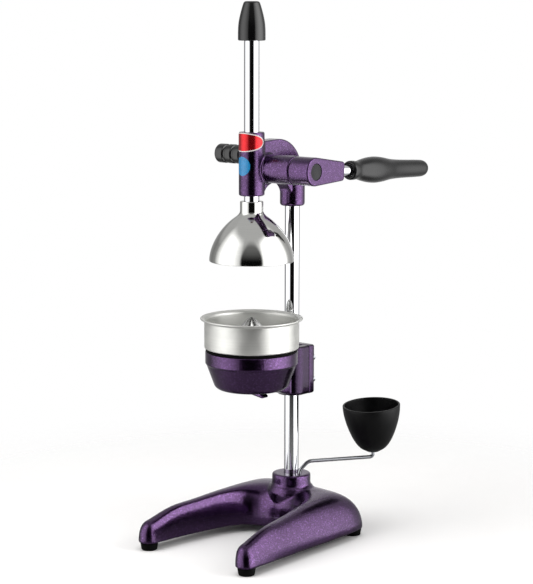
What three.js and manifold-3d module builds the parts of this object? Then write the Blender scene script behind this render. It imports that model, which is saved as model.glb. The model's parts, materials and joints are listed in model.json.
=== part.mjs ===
// A hand lever press for citrus and pomegranate halves, in millimetres, +Z up.
// While it is built, the toothed press rod stands on X = 0, Y = 0, the table is Z = 0,
// +X is the lever side and +Y is the back. At the end the whole press is moved so that
// its origin is the middle of the bottom of its box.
import * as THREE from "three";
import { mergeVertices } from "three/addons/utils/BufferGeometryUtils.js";
import Module from "manifold-3d";

const wasm = await Module();
wasm.setup();

// Gaps and overruns
const fitGap = 0.3;
const runGap = 0.3;
const cutOver = 2;

// Facets round a circle, and steps in a rounded corner
const wideSides = 24;
const rodSides = 18;
const screwSides = 8;
const footSides = 10;
const wireSides = 8;
const cornerSteps = 1;
const sweepSteps = 6;
const taperSteps = 3;

// Heights above the table that everything else is placed from
const pinionHeight = 402.5;
const bowlTopHeight = 211.5;
const hubTopHeight = 66.2;

// A socket's width, as a share of its screw's diameter
const keyShare = 0.6;

// Rubber feet and their screws
const footHeight = 8;
const footTopDiameter = 19;
const footBottomDiameter = 17;
const footEdge = 1.2;
const frontFootX = 68.5;
const frontFootY = -86.3;
const rearFootX = 60.1;
const rearFootY = 98.9;
const footScrewDiameter = 4;
const footScrewHeadDiameter = 8;
const footScrewHeadHeight = 2.4;
const footScrewSink = 4.6;
const footScrewThread = 9;
const footBossDiameter = 19;

// Horseshoe base casting
const baseHalfWidth = 80;
const baseRearY = 112;
const baseCrestHeight = 52;
const baseWall = 4;
const legTipRadius = 11.5;
const legTipSteps = 3;
const legSteps = 11;
const archSteps = 5;
const hollowSteps = 3;
const innerArchPower = 2.8;
const outerArchPower = 2.2;
const hubDiameter = 42;
const hubFlare = 4.5;
const hubFlareHeight = 9;
const hubCylinderHeight = 11;
const hubUndersideHeight = 18;
const columnShelf = 8;
const castEdge = 1.4;

// Plan and crest of the right half of the horseshoe, from the front foot to the middle of the back:
// across as a share of the half width, along as a share of the way from the front foot to the rear
// edge, and height as a share of the crest height
const innerEdgeShares = [
  [0.712, 0, 0.615],
  [0.682, 0.163, 0.79],
  [0.62, 0.33, 0.845],
  [0.55, 0.47, 0.9],
  [0.43, 0.572, 0.94],
  [0.27, 0.612, 0.965],
  [0.16, 0.624, 0.975],
  [0.08, 0.63, 0.99],
  [0, 0.63, 1],
];
// The outer edge, and where the crest stands between the two edges as a share of the leg's width
const outerEdgeShares = [
  [1, 0, 0.46],
  [0.985, 0.163, 0.4],
  [0.97, 0.33, 0.36],
  [0.96, 0.51, 0.34],
  [0.95, 0.72, 0.38],
  [0.92, 0.895, 0.42],
  [0.82, 0.978, 0.42],
  [0.5, 0.997, 0.4],
  [0, 1, 0.4],
];

// Upright column, with its bolt and washer
const columnDiameter = 16;
const columnSetback = 66.15;
const columnBoltDiameter = 8;
const columnBoltHeadAcross = 15;
const columnBoltHeadHeight = 5.3;
const columnBoltThread = 22;
const columnWasherDiameter = 20;
const columnWasherThickness = 1.6;

// Press rod with its rack of teeth, and the pinion that drives it
const rodDiameter = 16;
const gearModule = 1.5;
const pinionTeeth = 12;
const pressureAngle = 25 * Math.PI / 180;
const addendumShare = 0.8;
const toothBacklash = 0.2;
const rackPitchLineY = 5.5;
const gearHalfWidth = 8;
const flankSteps = 2;
const spareTeethBelow = 3;
const spareTeethAbove = 3;

// Press bell and its nut
const bellGap = 5.5;
const bellHeight = 63;
const bellRimDiameter = 89;
const bellLip = 2.2;
const bellDomeHeight = 47;
const bellWall = 3;
const bellNeckDiameter = 24.3;
const bellShoulder = 3.8;
const bellNeckFlare = 6;
const bellFloor = 9;
const bellSteps = 5;
const shoulderSteps = 3;
const bellNutAcross = 17;
const bellNutHeight = 6;
const bellThreadDiameter = 9;

// The curve of its side: radius as a share of the rim's, height as a share of the dome's
const bellSideShares = [
  [0.982, 0.362],
  [0.754, 0.766],
];

// Black cap on top of the press rod, just clear of the sleeve when the rod is down
const capPressedGap = 3.1;
const capHeight = 40.1;
const capBottomDiameter = 27.6;
const capEdge = 1.2;
const capTopEdge = 3;
const capRoof = 6;

// Its outline: height as a share of its own, radius as a share of its largest
const capShares = [
  [0.03, 1],
  [0.25, 0.995],
  [0.45, 0.955],
  [0.65, 0.845],
  [0.85, 0.695],
  [0.93, 0.62],
];

// Head casting
const sleeveDiameter = 27;
const sleeveBelowPinion = 28;
const sleeveAbovePinion = 38.5;
const webThickness = 20;
const webEdge = 2.6;
const domeSetback = 34;
const domeRadius = 33;
const domeBelowPinion = 3.5;
const archTopBelowPinion = 16.3;
const archOverrun = 0.3;
const socketDiameter = 26.7;
const socketBelowPinion = 43.5;
const socketAbovePinion = 1.5;
const socketRoof = 6;
const bossDiameter = 29;
const bossFaceX = 48.6;
const bossFillet = 6;
const pinionEndWall = 4.7;
const pinionEndBossDiameter = 25;
const setScrewDiameter = 6;
const setScrewBelowPinion = 31.5;
const setScrewSocket = 3;

// Fixed side grip on its boss and stud
const gripBossDiameter = 22;
const gripSetback = 30;
const gripAbovePinion = 11;
const gripBossLength = 34;
const gripLength = 27;
const gripDiameter = 20.5;
const gripGroove = 1.7;
const gripRibs = 3;
const gripEdge = 2.2;
const gripStudDiameter = 8;
const gripStudHalf = 19;

// Where a rib rises, is full and starts to fall, as shares of its span
const gripRibShares = [0.2, 0.32, 0.88];

// Pinion shaft and what holds it
const pinionSpigotDiameter = 12;
const pinionWasherDiameter = 14;
const pinionWasherThickness = 1.5;
const pinionScrewDiameter = 6;
const pinionScrewHeadDiameter = 10;
const pinionScrewHeadHeight = 4;
const pinionScrewThread = 14;
const driveDiameter = 15;
const driveFlat = 1.6;
const driveLength = 17;

// Lever, measured from the pinion's axis along the lever
const leverDroop = 2.66 * Math.PI / 180;
const leverHubDiameter = 29.6;
const leverHubEndX = 75;
const leverArmThickness = 17;
const leverArmReach = 47;
const leverArmEndHalf = 10.2;
const leverArmCorner = 3;
const leverArmEdge = 1.3;
const leverRodDiameter = 10.5;
const leverRodSeat = 24;
const leverRodInGrip = 70;
const gripStart = 64;
const gripEnd = 197.7;
const hubScrewDiameter = 8;
const hubScrewHeadDiameter = 13;
const hubScrewHeadHeight = 4;
const hubScrewThread = 14;
const hubCapDiameter = 17;
const hubCapThickness = 2.4;
const hubCapSink = 0.5;
const leverSetScrewDiameter = 5;

// Outline of the lever's grip: along as a share of its length, radius as a share of its largest
const leverGripDiameter = 26.9;
const leverGripShares = [
  [0, 0.62],
  [0.012, 0.7],
  [0.055, 0.69],
  [0.083, 0.66],
  [0.123, 0.74],
  [0.183, 0.86],
  [0.244, 0.955],
  [0.331, 1],
  [0.418, 0.955],
  [0.505, 0.835],
  [0.574, 0.75],
  [0.643, 0.71],
  [0.8, 0.685],
  [0.94, 0.655],
  [0.982, 0.55],
  [1, 0.36],
];

// Juice bowl casting, with its spout and the bracket round the column
const bowlDiameter = 98;
const bowlBand = 14.2;
const bowlBottomDiameter = 81;
const bowlHeight = 41.5;
const bowlCorner = 8;
const bowlLean = 30;
const bowlWall = 4;
const bowlFloor = 5;
const bowlSeatRise = 1.9;
const bowlSeatWidth = 1.8;
const spoutTipX = 23.5;
const spoutDrop = 11.6;
const spoutBackX = -15;
const spoutHalfWidth = 11;
const spoutWall = 2.5;
const spoutLip = 2.2;
const drainFrontX = 11;
const bracketHalfWidth = 16.5;
const bracketBelowBowlTop = 4.3;
const bracketHeight = 53;
const bracketWebRise = 5;
const bracketSeamGap = 0.95;
const clampThickness = 12.2;
const clampCorner = 5;
const clampEdge = 2.2;
const clampScrewDiameter = 4;
const clampScrewHeadDiameter = 7;
const clampScrewHeadHeight = 4;
const clampScrewX = 12.5;
const clampScrewThread = 12;
const clampScrewRise = 12;

// Stainless strainer bowl
const strainerDiameter = 99.8;
const strainerHeight = 41.6;
const strainerFlangeDiameter = 108.2;
const strainerSheet = 1.2;
const strainerFlangeRise = 4.5;
const strainerRoll = 1.2;
const strainerDropDepth = 10.5;
const strainerSlots = 18;
const strainerSlotWidth = 2.2;
const strainerSlotLength = 8;
const strainerBend = 1.6;

// Ribbed reamer cone
const reamerDiameter = 58;
const reamerHeight = 42;
const reamerRibs = 8;
const reamerRibDepthShare = 0.17;
const reamerSidesPerRib = 4;
const reamerSteps = 8;
const reamerSidePower = 1.5;
const reamerTipPower = 0.8;
const reamerPegDiameter = 11;
const reamerPegLength = 4;

// Swinging drip cup on its wire arm
const wireDiameter = 4;
const wirePathPieces = 24;
const dripPivotX = 12.4;
const dripPivotBehindColumn = -1;
const dripPinDepth = 14;
const dripArmRise = 13.8;
const dripElbowRise = 4;
const dripElbowBend = 3;
const dripShoulderReach = 10;
const dripShoulderBend = 4;
const dripStubBend = 4;
const dripReach = 84.5;
const dripRestAngle = 56.8 * Math.PI / 180;
const dripCupRimDiameter = 63;
const dripCupHeight = 52.3;
const dripCupWall = 2.4;
const dripCupFloor = 9;
const dripCupAboveArm = 6.8;
const dripCupTilt = 4.6 * Math.PI / 180;
const dripCupTiltTurn = -60 * Math.PI / 180;
const dripStubInCup = 6;
const dripCupSteps = 5;
const dripCupSidePower = 2;
const dripCupRoundPower = 0.6;
const dripCupStepPower = 1.6;
const dripCupFootShare = 0.02;
const dripCupSides = 20;

// Worked out from the sizes above
const castingBottom = footHeight + fitGap;
const rodBore = rodDiameter / 2 + runGap;
const columnBore = columnDiameter / 2 + fitGap;
const shelfHeight = hubUndersideHeight + columnShelf;
const sleeveBottomHeight = pinionHeight - sleeveBelowPinion;
const sleeveTopHeight = pinionHeight + sleeveAbovePinion;
const socketBottomHeight = pinionHeight - socketBelowPinion;
const socketTopHeight = pinionHeight + socketAbovePinion;
const domeHeight = pinionHeight - domeBelowPinion;
const archHalf = (columnSetback - (socketDiameter + sleeveDiameter) / 2) / 2;
const archRadius = archHalf + archOverrun;
const archSetback = sleeveDiameter / 2 + archHalf;
const archHeight = pinionHeight - archTopBelowPinion - archRadius;
const setScrewHeight = pinionHeight - setScrewBelowPinion;
const gripHeight = pinionHeight + gripAbovePinion;
const columnTopHeight = socketTopHeight - socketRoof - fitGap;
const bellNeckTopHeight = sleeveBottomHeight - bellGap;
const bellRimHeight = bellNeckTopHeight - bellHeight;
const bowlBottomHeight = bowlTopHeight - bowlHeight;
const bowlBandHeight = bowlTopHeight - bowlBand;
const spoutTipHeight = bowlBottomHeight - spoutDrop;
const bracketTopHeight = bowlTopHeight - bracketBelowBowlTop;
const bracketBottomHeight = bracketTopHeight - bracketHeight;
const bracketWebBottomHeight = bracketBottomHeight + bracketWebRise;
const bracketSeamY = columnSetback + columnDiameter / 2 + bracketSeamGap;
const clampBackY = bracketSeamY + clampThickness;
const dripArmHeight = hubTopHeight + dripArmRise;
const dripCupBottomHeight = dripArmHeight + dripCupAboveArm;
const toothPitch = Math.PI * gearModule;
const addendum = addendumShare * gearModule;
const pinionPitchRadius = gearModule * pinionTeeth / 2;
const pinionTipRadius = pinionPitchRadius + addendum;
const pinionRootRadius = pinionPitchRadius - addendum - fitGap;
const pinionY = rackPitchLineY + pinionPitchRadius;
const pinionBore = pinionTipRadius + runGap;
const gearEndX = -gearHalfWidth;
const pinionEndFaceX = gearEndX - runGap - pinionEndWall;
const leverHubX = bossFaceX + runGap;
const strainerWallBottom = bowlTopHeight + bowlSeatRise + fitGap;
const strainerFloorHeight = strainerWallBottom - strainerDropDepth;
const strainerTopHeight = strainerFloorHeight + strainerHeight;
const rackTravelDown = bellRimHeight - strainerWallBottom - strainerSheet - 2 * runGap;
const capBottomHeight = sleeveTopHeight + rackTravelDown + capPressedGap;
const capTopHeight = capBottomHeight + capHeight;
const bellFloorHeight = bellRimHeight + bellDomeHeight - bellFloor;
const clampRise = (bracketTopHeight - bracketBottomHeight) / 2;
const clampMiddleHeight = (bracketTopHeight + bracketBottomHeight) / 2;

// Joining and cutting

function signedVolume(points, corners) {
  const a = new THREE.Vector3();
  const b = new THREE.Vector3();
  const c = new THREE.Vector3();
  let volume = 0;
  for (let i = 0; i < corners.length; i += 3) {
    a.fromArray(points, 3 * corners[i]);
    b.fromArray(points, 3 * corners[i + 1]);
    c.fromArray(points, 3 * corners[i + 2]);
    volume += a.dot(b.cross(c)) / 6;
  }
  return volume;
}

function toSolid(geometry) {
  const bare = geometry.clone();
  bare.deleteAttribute("normal");
  bare.deleteAttribute("uv");
  const merged = mergeVertices(bare);
  const index = merged.index.array;
  const corners = [];
  for (let i = 0; i < index.length; i += 3) {
    const [a, b, c] = index.slice(i, i + 3);
    if (a !== b && b !== c && c !== a) {
      corners.push(a, b, c);
    }
  }
  const vertProperties = Float32Array.from(merged.attributes.position.array);
  if (signedVolume(vertProperties, corners) < 0) {
    corners.reverse();
  }
  const triVerts = Uint32Array.from(corners);
  return new wasm.Manifold(new wasm.Mesh({ numProp: 3, vertProperties, triVerts }));
}

function fromSolid(solid) {
  const mesh = solid.getMesh();
  const geometry = new THREE.BufferGeometry();
  geometry.setAttribute("position", new THREE.BufferAttribute(mesh.vertProperties, 3));
  geometry.setIndex(new THREE.BufferAttribute(mesh.triVerts, 1));
  geometry.computeVertexNormals();
  return geometry;
}

function join(first, ...others) {
  return fromSolid(others.reduce((whole, other) => whole.add(toSolid(other)), toSolid(first)));
}

function cut(body, ...cutters) {
  return fromSolid(cutters.reduce((rest, cutter) => rest.subtract(toSolid(cutter)), toSolid(body)));
}

function common(first, second) {
  return fromSolid(toSolid(first).intersect(toSolid(second)));
}

// Outlines and turned forms

function arc(centreX, centreY, radius, fromDegrees, toDegrees, steps) {
  const points = [];
  for (let i = 0; i <= steps; i += 1) {
    const angle = THREE.MathUtils.degToRad(fromDegrees + (toDegrees - fromDegrees) * i / steps);
    points.push([centreX + radius * Math.cos(angle), centreY + radius * Math.sin(angle)]);
  }
  return points;
}

function turned(profile, sides) {
  const outline = profile.map(([radius, height]) => new THREE.Vector2(Math.max(radius, 0), height));
  outline.push(outline[0].clone());
  return new THREE.LatheGeometry(outline, sides);
}

const alongZ = new THREE.Matrix4().makeBasis(
  new THREE.Vector3(1, 0, 0), new THREE.Vector3(0, 0, 1), new THREE.Vector3(0, -1, 0));
const alongX = new THREE.Matrix4().makeBasis(
  new THREE.Vector3(0, 1, 0), new THREE.Vector3(1, 0, 0), new THREE.Vector3(0, 0, -1));
const sideways = new THREE.Matrix4().makeBasis(
  new THREE.Vector3(0, 1, 0), new THREE.Vector3(0, 0, 1), new THREE.Vector3(1, 0, 0));
const fromFront = new THREE.Matrix4().makeBasis(
  new THREE.Vector3(1, 0, 0), new THREE.Vector3(0, 0, 1), new THREE.Vector3(0, -1, 0));

function turnedZ(profile, sides = rodSides) {
  return turned(profile, sides).applyMatrix4(alongZ);
}

function turnedX(profile, sides = rodSides) {
  return turned(profile, sides).applyMatrix4(alongX);
}

function bar(radius, from, to, edge = 0) {
  if (edge === 0) {
    return [[0, from], [radius, from], [radius, to], [0, to]];
  }
  return [
    [0, from],
    ...arc(radius - edge, from + edge, edge, -90, 0, cornerSteps),
    ...arc(radius - edge, to - edge, edge, 0, 90, cornerSteps),
    [0, to],
  ];
}

function ring(inner, outer, from, to) {
  return [[inner, from], [outer, from], [outer, to], [inner, to]];
}

function slab(outline, thickness, edge = 0) {
  const shape = new THREE.Shape(outline.map(([x, y]) => new THREE.Vector2(x, y)));
  if (edge === 0) {
    return new THREE.ExtrudeGeometry(shape, { depth: thickness, bevelEnabled: false });
  }
  const options = {
    depth: thickness - 2 * edge,
    bevelThickness: edge,
    bevelSize: edge,
    bevelOffset: -edge,
    bevelSegments: cornerSteps,
  };
  return new THREE.ExtrudeGeometry(shape, options).translate(0, 0, edge);
}

function rectangle(x0, x1, y0, y1) {
  return [[x0, y0], [x1, y0], [x1, y1], [x0, y1]];
}

function block(x0, x1, y0, y1, z0, z1) {
  return slab(rectangle(x0, x1, y0, y1), z1 - z0).translate(0, 0, z0);
}

function hexagon(acrossCorners) {
  return arc(0, 0, acrossCorners / 2, 0, 360 - 360 / 6, 5);
}

// A socket screw along +Z: the head's top at `top`, its thread reaching down
function socketScrew(headDiameter, headHeight, diameter, length, top) {
  const head = turnedZ(bar(headDiameter / 2, top - headHeight, top), screwSides);
  const shank = turnedZ(bar(diameter / 2, top - headHeight - length, top - headHeight / 2), screwSides);
  const key = slab(hexagon(headDiameter / 2), headHeight).translate(0, 0, top - headHeight / 2);
  return cut(join(head, shank), key);
}

// A solid through a row of rings with the same number of points; an end ring may shrink to a point
function loft(rings) {
  const count = rings[0].length;
  const positions = rings.flat().flatMap((point) => point.toArray());
  const index = [];
  for (let i = 0; i + 1 < rings.length; i += 1) {
    for (let j = 0; j < count; j += 1) {
      const next = (j + 1) % count;
      const a = i * count + j;
      const b = i * count + next;
      const c = (i + 1) * count + next;
      const d = (i + 1) * count + j;
      index.push(a, b, c, a, c, d);
    }
  }
  for (let j = 1; j + 1 < count; j += 1) {
    const last = (rings.length - 1) * count;
    index.push(0, j + 1, j, last, last + j, last + j + 1);
  }
  const geometry = new THREE.BufferGeometry();
  geometry.setAttribute("position", new THREE.Float32BufferAttribute(positions, 3));
  geometry.setIndex(index);
  return geometry;
}

// Materials

const flakePaint = new THREE.MeshStandardMaterial({ color: 0x3a2455, roughness: 0.35, metalness: 0.6 });
const chrome = new THREE.MeshStandardMaterial({ color: 0xd8d9dc, roughness: 0.08, metalness: 1 });
const polished = new THREE.MeshStandardMaterial({ color: 0xcfcfcc, roughness: 0.12, metalness: 1 });
const stainless = new THREE.MeshStandardMaterial({ color: 0xc9c9c5, roughness: 0.25, metalness: 1 });
const blackPlastic = new THREE.MeshStandardMaterial({ color: 0x17171a, roughness: 0.42, metalness: 0 });
const rubber = new THREE.MeshStandardMaterial({ color: 0x0e0e0f, roughness: 0.7, metalness: 0 });
const greyPlastic = new THREE.MeshStandardMaterial({ color: 0x565359, roughness: 0.5, metalness: 0 });
const steel = new THREE.MeshStandardMaterial({ color: 0xa9abb0, roughness: 0.3, metalness: 1 });

function piece(name, geometry, material) {
  const mesh = new THREE.Mesh(fromSolid(toSolid(geometry)), material);
  mesh.name = name;
  return mesh;
}

function group(...members) {
  const made = new THREE.Group();
  made.add(...members);
  return made;
}

// Feet and their screws

function foot() {
  const top = footTopDiameter / 2;
  const bottom = footBottomDiameter / 2;
  const hole = footScrewDiameter / 2 + fitGap;
  const sink = footScrewHeadDiameter / 2 + fitGap;
  return turnedZ([
    [sink, 0],
    [bottom - footEdge, 0],
    [bottom, footEdge],
    [top, footHeight],
    [hole, footHeight],
    [hole, footScrewSink],
    [sink, footScrewSink],
  ], footSides);
}

function footScrew() {
  const headTop = footScrewSink - fitGap;
  const screw = socketScrew(footScrewHeadDiameter, footScrewHeadHeight, footScrewDiameter,
    footHeight + footScrewThread - headTop, 0);
  return screw.rotateX(Math.PI).translate(0, 0, headTop - footScrewHeadHeight);
}

const footPlaces = [
  ["front_left", -frontFootX, frontFootY],
  ["front_right", frontFootX, frontFootY],
  ["rear_left", -rearFootX, rearFootY],
  ["rear_right", rearFootX, rearFootY],
];

function feet() {
  const all = new THREE.Group();
  for (const [corner, x, y] of footPlaces) {
    const pad = piece(`foot_${corner}`, foot(), rubber);
    const screw = piece(`foot_screw_${corner}`, footScrew(), steel);
    pad.position.set(x, y, 0);
    screw.position.set(x, y, 0);
    all.add(pad, screw);
  }
  return all;
}

// Base casting: one arched section carried round the horseshoe, open underneath

function edgeCurve(shares, third) {
  const along = baseRearY - frontFootY;
  const points = shares.map(([x, y, w]) => new THREE.Vector3(
    x * baseHalfWidth, frontFootY + y * along, w * third));
  return new THREE.CatmullRomCurve3(points, false, "centripetal");
}

const innerEdge = edgeCurve(innerEdgeShares, baseCrestHeight);
const outerEdge = edgeCurve(outerEdgeShares, 1);

// Points over the arch from the inner edge to the outer one
function archRing(inner, outer, crest, crestShare, bottom, steps) {
  const points = [];
  const add = (across, up) => {
    const point = new THREE.Vector3().lerpVectors(inner, outer, across);
    points.push(point.setZ(bottom + (crest - bottom) * up));
  };
  for (let i = 0; i <= steps; i += 1) {
    const angle = Math.PI / 2 * i / steps;
    const power = 2 / innerArchPower;
    add(crestShare * (1 - Math.cos(angle) ** power), Math.sin(angle) ** power);
  }
  for (let i = 1; i <= steps; i += 1) {
    const angle = Math.PI / 2 * (1 - i / steps);
    const power = 2 / outerArchPower;
    add(crestShare + (1 - crestShare) * Math.cos(angle) ** power, Math.sin(angle) ** power);
  }
  return points;
}

function horseshoe(inset, bottom, steps) {
  const half = [];
  for (let i = 0; i <= legTipSteps; i += 1) {
    const angle = Math.PI / 2 * (1 - i / legTipSteps);
    const inner = innerEdge.getPoint(0);
    const outer = outerEdge.getPoint(0);
    const middle = inner.clone().lerp(outer, 0.5).setZ(0);
    const reach = legTipRadius - inset;
    const fall = Math.cos(angle) ** (2 / innerArchPower);
    const crest = bottom + (inner.z - inset - bottom) * fall;
    const nearer = middle.clone();
    nearer.x -= reach * Math.cos(angle);
    nearer.y -= reach * Math.sin(angle);
    const further = nearer.clone();
    further.x += 2 * reach * Math.cos(angle);
    half.push(archRing(nearer, further, crest, outer.z, bottom, steps));
  }
  for (let i = 1; i <= legSteps; i += 1) {
    const inner = innerEdge.getPoint(i / legSteps);
    const outer = outerEdge.getPoint(i / legSteps);
    const crest = inner.z - inset;
    const crestShare = outer.z;
    const across = outer.clone().sub(inner).setZ(0).normalize();
    inner.addScaledVector(across, inset);
    outer.addScaledVector(across, -inset);
    half.push(archRing(inner, outer, crest, crestShare, bottom, steps));
  }
  const mirrored = half.slice(0, -1).map((points) => points.map((point) => {
    const copy = point.clone();
    copy.x = -copy.x;
    return copy;
  }));
  return loft([...half, ...mirrored.reverse()]);
}

const dripPivotY = columnSetback + dripPivotBehindColumn;

function baseCasting() {
  const outside = horseshoe(0, castingBottom, archSteps);
  const hollow = horseshoe(baseWall, castingBottom - cutOver, hollowSteps);
  const hubRadius = hubDiameter / 2;
  const flareBottom = hubTopHeight - hubCylinderHeight - hubFlareHeight;
  const hub = turnedZ([
    [0, hubUndersideHeight],
    [hubRadius, hubUndersideHeight],
    [hubRadius + hubFlare, flareBottom],
    [hubRadius + hubFlare, flareBottom + hubFlareHeight / 4],
    [hubRadius + hubFlare / 3, flareBottom + hubFlareHeight / 2],
    [hubRadius, flareBottom + hubFlareHeight],
    ...arc(hubRadius - castEdge, hubTopHeight - castEdge, castEdge, 0, 90, cornerSteps),
    [0, hubTopHeight],
  ], wideSides).translate(0, columnSetback, 0);
  const posts = horseshoe(baseWall / 2, castingBottom, hollowSteps);
  let casting = join(cut(outside, hollow), hub);
  for (const [, x, y] of footPlaces) {
    const post = turnedZ(bar(footBossDiameter / 2, castingBottom, baseCrestHeight), screwSides);
    post.translate(x, y, 0);
    casting = join(casting, common(post, posts));
    const thread = bar(footScrewDiameter / 2 + fitGap, -cutOver, footHeight + footScrewThread + fitGap);
    casting = cut(casting, turnedZ(thread, screwSides).translate(x, y, 0));
  }
  const columnHole = turnedZ(bar(columnBore, shelfHeight, hubTopHeight + cutOver));
  const boltHole = turnedZ(bar(columnBoltDiameter / 2 + fitGap, 0, hubTopHeight), screwSides);
  const pinHole = turnedZ(
    bar(wireDiameter / 2 + runGap, hubTopHeight - dripPinDepth - runGap, hubTopHeight + cutOver),
    screwSides);
  columnHole.translate(0, columnSetback, 0);
  boltHole.translate(0, columnSetback, 0);
  pinHole.translate(dripPivotX, dripPivotY, 0);
  return cut(casting, columnHole, boltHole, pinHole);
}

// Column with its bolt and washer

function column() {
  const foot = shelfHeight + fitGap;
  const thread = bar(columnBoltDiameter / 2 + fitGap, foot - cutOver, foot + columnBoltThread + fitGap);
  return cut(turnedZ(bar(columnDiameter / 2, foot, columnTopHeight, castEdge / 2)),
    turnedZ(thread, screwSides));
}

function columnWasher() {
  const top = hubUndersideHeight - fitGap;
  return turnedZ(ring(columnBoltDiameter / 2 + fitGap, columnWasherDiameter / 2,
    top - columnWasherThickness, top));
}

function columnBolt() {
  const headTop = hubUndersideHeight - columnWasherThickness - 2 * fitGap;
  const head = slab(hexagon(columnBoltHeadAcross), columnBoltHeadHeight);
  head.translate(0, 0, headTop - columnBoltHeadHeight);
  const shank = bar(columnBoltDiameter / 2, headTop - columnBoltHeadHeight / 2,
    shelfHeight + fitGap + columnBoltThread);
  return join(head, turnedZ(shank, screwSides));
}

// Press rod, with straight-cut rack teeth across its back

function rackCutter() {
  const crestY = rackPitchLineY + addendum;
  const rootY = rackPitchLineY - addendum - fitGap;
  const slope = Math.tan(pressureAngle);
  const pitchHalf = (toothPitch / 2 + toothBacklash) / 2;
  const crestHalf = pitchHalf + (crestY - rackPitchLineY) * slope;
  const rootHalf = pitchHalf - (rackPitchLineY - rootY) * slope;
  const count = spareTeethBelow + spareTeethAbove + Math.ceil(rackTravelDown / toothPitch);
  const outsideY = rodDiameter / 2 + cutOver;
  const first = pinionHeight - (spareTeethBelow - 0.5) * toothPitch;
  const last = first + (count - 1) * toothPitch;
  const outline = [[outsideY, first - crestHalf]];
  for (let i = 0; i < count; i += 1) {
    const middle = first + i * toothPitch;
    outline.push([crestY, middle - crestHalf], [rootY, middle - rootHalf]);
    outline.push([rootY, middle + rootHalf], [crestY, middle + crestHalf]);
  }
  outline.push([outsideY, last + crestHalf]);
  const width = rodDiameter + 2 * cutOver;
  return slab(outline, width).translate(0, 0, -width / 2).applyMatrix4(sideways);
}

function rackRod() {
  const seat = bellFloorHeight + bellFloor;
  const radius = rodDiameter / 2;
  const stud = bellThreadDiameter / 2;
  const body = turnedZ([
    [0, bellFloorHeight - bellNutHeight],
    [stud, bellFloorHeight - bellNutHeight],
    [stud, seat + fitGap],
    [radius, seat + fitGap],
    [radius, capTopHeight - capRoof - fitGap],
    [0, capTopHeight - capRoof - fitGap],
  ]);
  return cut(body, rackCutter());
}

function rackCap() {
  const bottom = capBottomDiameter / 2;
  const side = capShares.map(([up, width]) => [width * bottom, capBottomHeight + up * capHeight]);
  const top = side[side.length - 1][0];
  const inside = rodDiameter / 2 + fitGap;
  return turnedZ([
    [inside, capBottomHeight],
    [bottom - capEdge, capBottomHeight],
    ...side,
    ...arc(top - capTopEdge, capTopHeight - capTopEdge, capTopEdge, 45, 90, cornerSteps),
    [0, capTopHeight],
    [0, capTopHeight - capRoof],
    [inside, capTopHeight - capRoof],
  ]);
}

// Press bell: an ogive dome with a neck, hollow below, and the nut inside it

function bellOutline(inset) {
  const rim = bellRimDiameter / 2 - inset;
  const crown = bellDomeHeight - inset;
  const controls = bellSideShares.map(([out, up]) => new THREE.Vector2(rim * out, crown * up));
  const side = new THREE.CubicBezierCurve(
    new THREE.Vector2(rim, bellLip),
    ...controls,
    new THREE.Vector2(bellNeckDiameter / 2 + bellShoulder, crown));
  return side.getPoints(bellSteps).map((point) => [point.x, bellRimHeight + point.y]);
}

// The hollow curve from the dome into the neck
function bellShoulderOutline() {
  const neck = bellNeckDiameter / 2;
  const crown = bellRimHeight + bellDomeHeight;
  const side = new THREE.QuadraticBezierCurve(
    new THREE.Vector2(neck + bellShoulder, crown),
    new THREE.Vector2(neck, crown + bellNeckFlare / 2),
    new THREE.Vector2(neck, crown + bellNeckFlare));
  return side.getPoints(shoulderSteps).slice(1).map((point) => [point.x, point.y]);
}

function pressBell() {
  const rim = bellRimDiameter / 2;
  const neck = bellNeckDiameter / 2;
  const inside = bellOutline(bellWall).filter(([, height]) => height < bellFloorHeight);
  const seat = bellFloorHeight + bellFloor;
  return turnedZ([
    [rim - bellWall, bellRimHeight],
    [rim - bellLip / 3, bellRimHeight],
    [rim, bellRimHeight + bellLip / 3],
    ...bellOutline(0),
    ...bellShoulderOutline(),
    [neck, bellNeckTopHeight - castEdge],
    [neck - castEdge, bellNeckTopHeight],
    [rodDiameter / 2 + fitGap, bellNeckTopHeight],
    [rodDiameter / 2 + fitGap, seat],
    [bellThreadDiameter / 2 + fitGap, seat],
    [bellThreadDiameter / 2 + fitGap, bellFloorHeight],
    [inside[inside.length - 1][0] - bellWall, bellFloorHeight],
    ...inside.reverse(),
  ], wideSides);
}

function bellNut() {
  const top = bellFloorHeight - fitGap;
  const bore = bar(bellThreadDiameter / 2 + fitGap, top - bellNutHeight - cutOver, top + cutOver);
  const nut = slab(hexagon(bellNutAcross), bellNutHeight).translate(0, 0, top - bellNutHeight);
  return cut(nut, turnedZ(bore));
}

// Head casting: guide sleeve, bridge, column socket, pinion boss and grip boss

function bridgeOutline() {
  const leftRise = sleeveBottomHeight + castEdge / 2 - archHeight;
  const leftAngle = 180 - THREE.MathUtils.radToDeg(Math.asin(leftRise / archRadius));
  const rightAngle = THREE.MathUtils.radToDeg(Math.acos(archHalf / archRadius));
  return [
    [0, archHeight + leftRise],
    ...arc(archSetback, archHeight, archRadius, leftAngle, rightAngle, sweepSteps),
    [columnSetback, archHeight + archRadius * Math.sin(THREE.MathUtils.degToRad(rightAngle))],
    [columnSetback, domeHeight],
    ...arc(domeSetback, domeHeight, domeRadius, 0, 90, sweepSteps),
    [0, domeHeight + domeRadius - castEdge],
  ];
}

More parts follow.
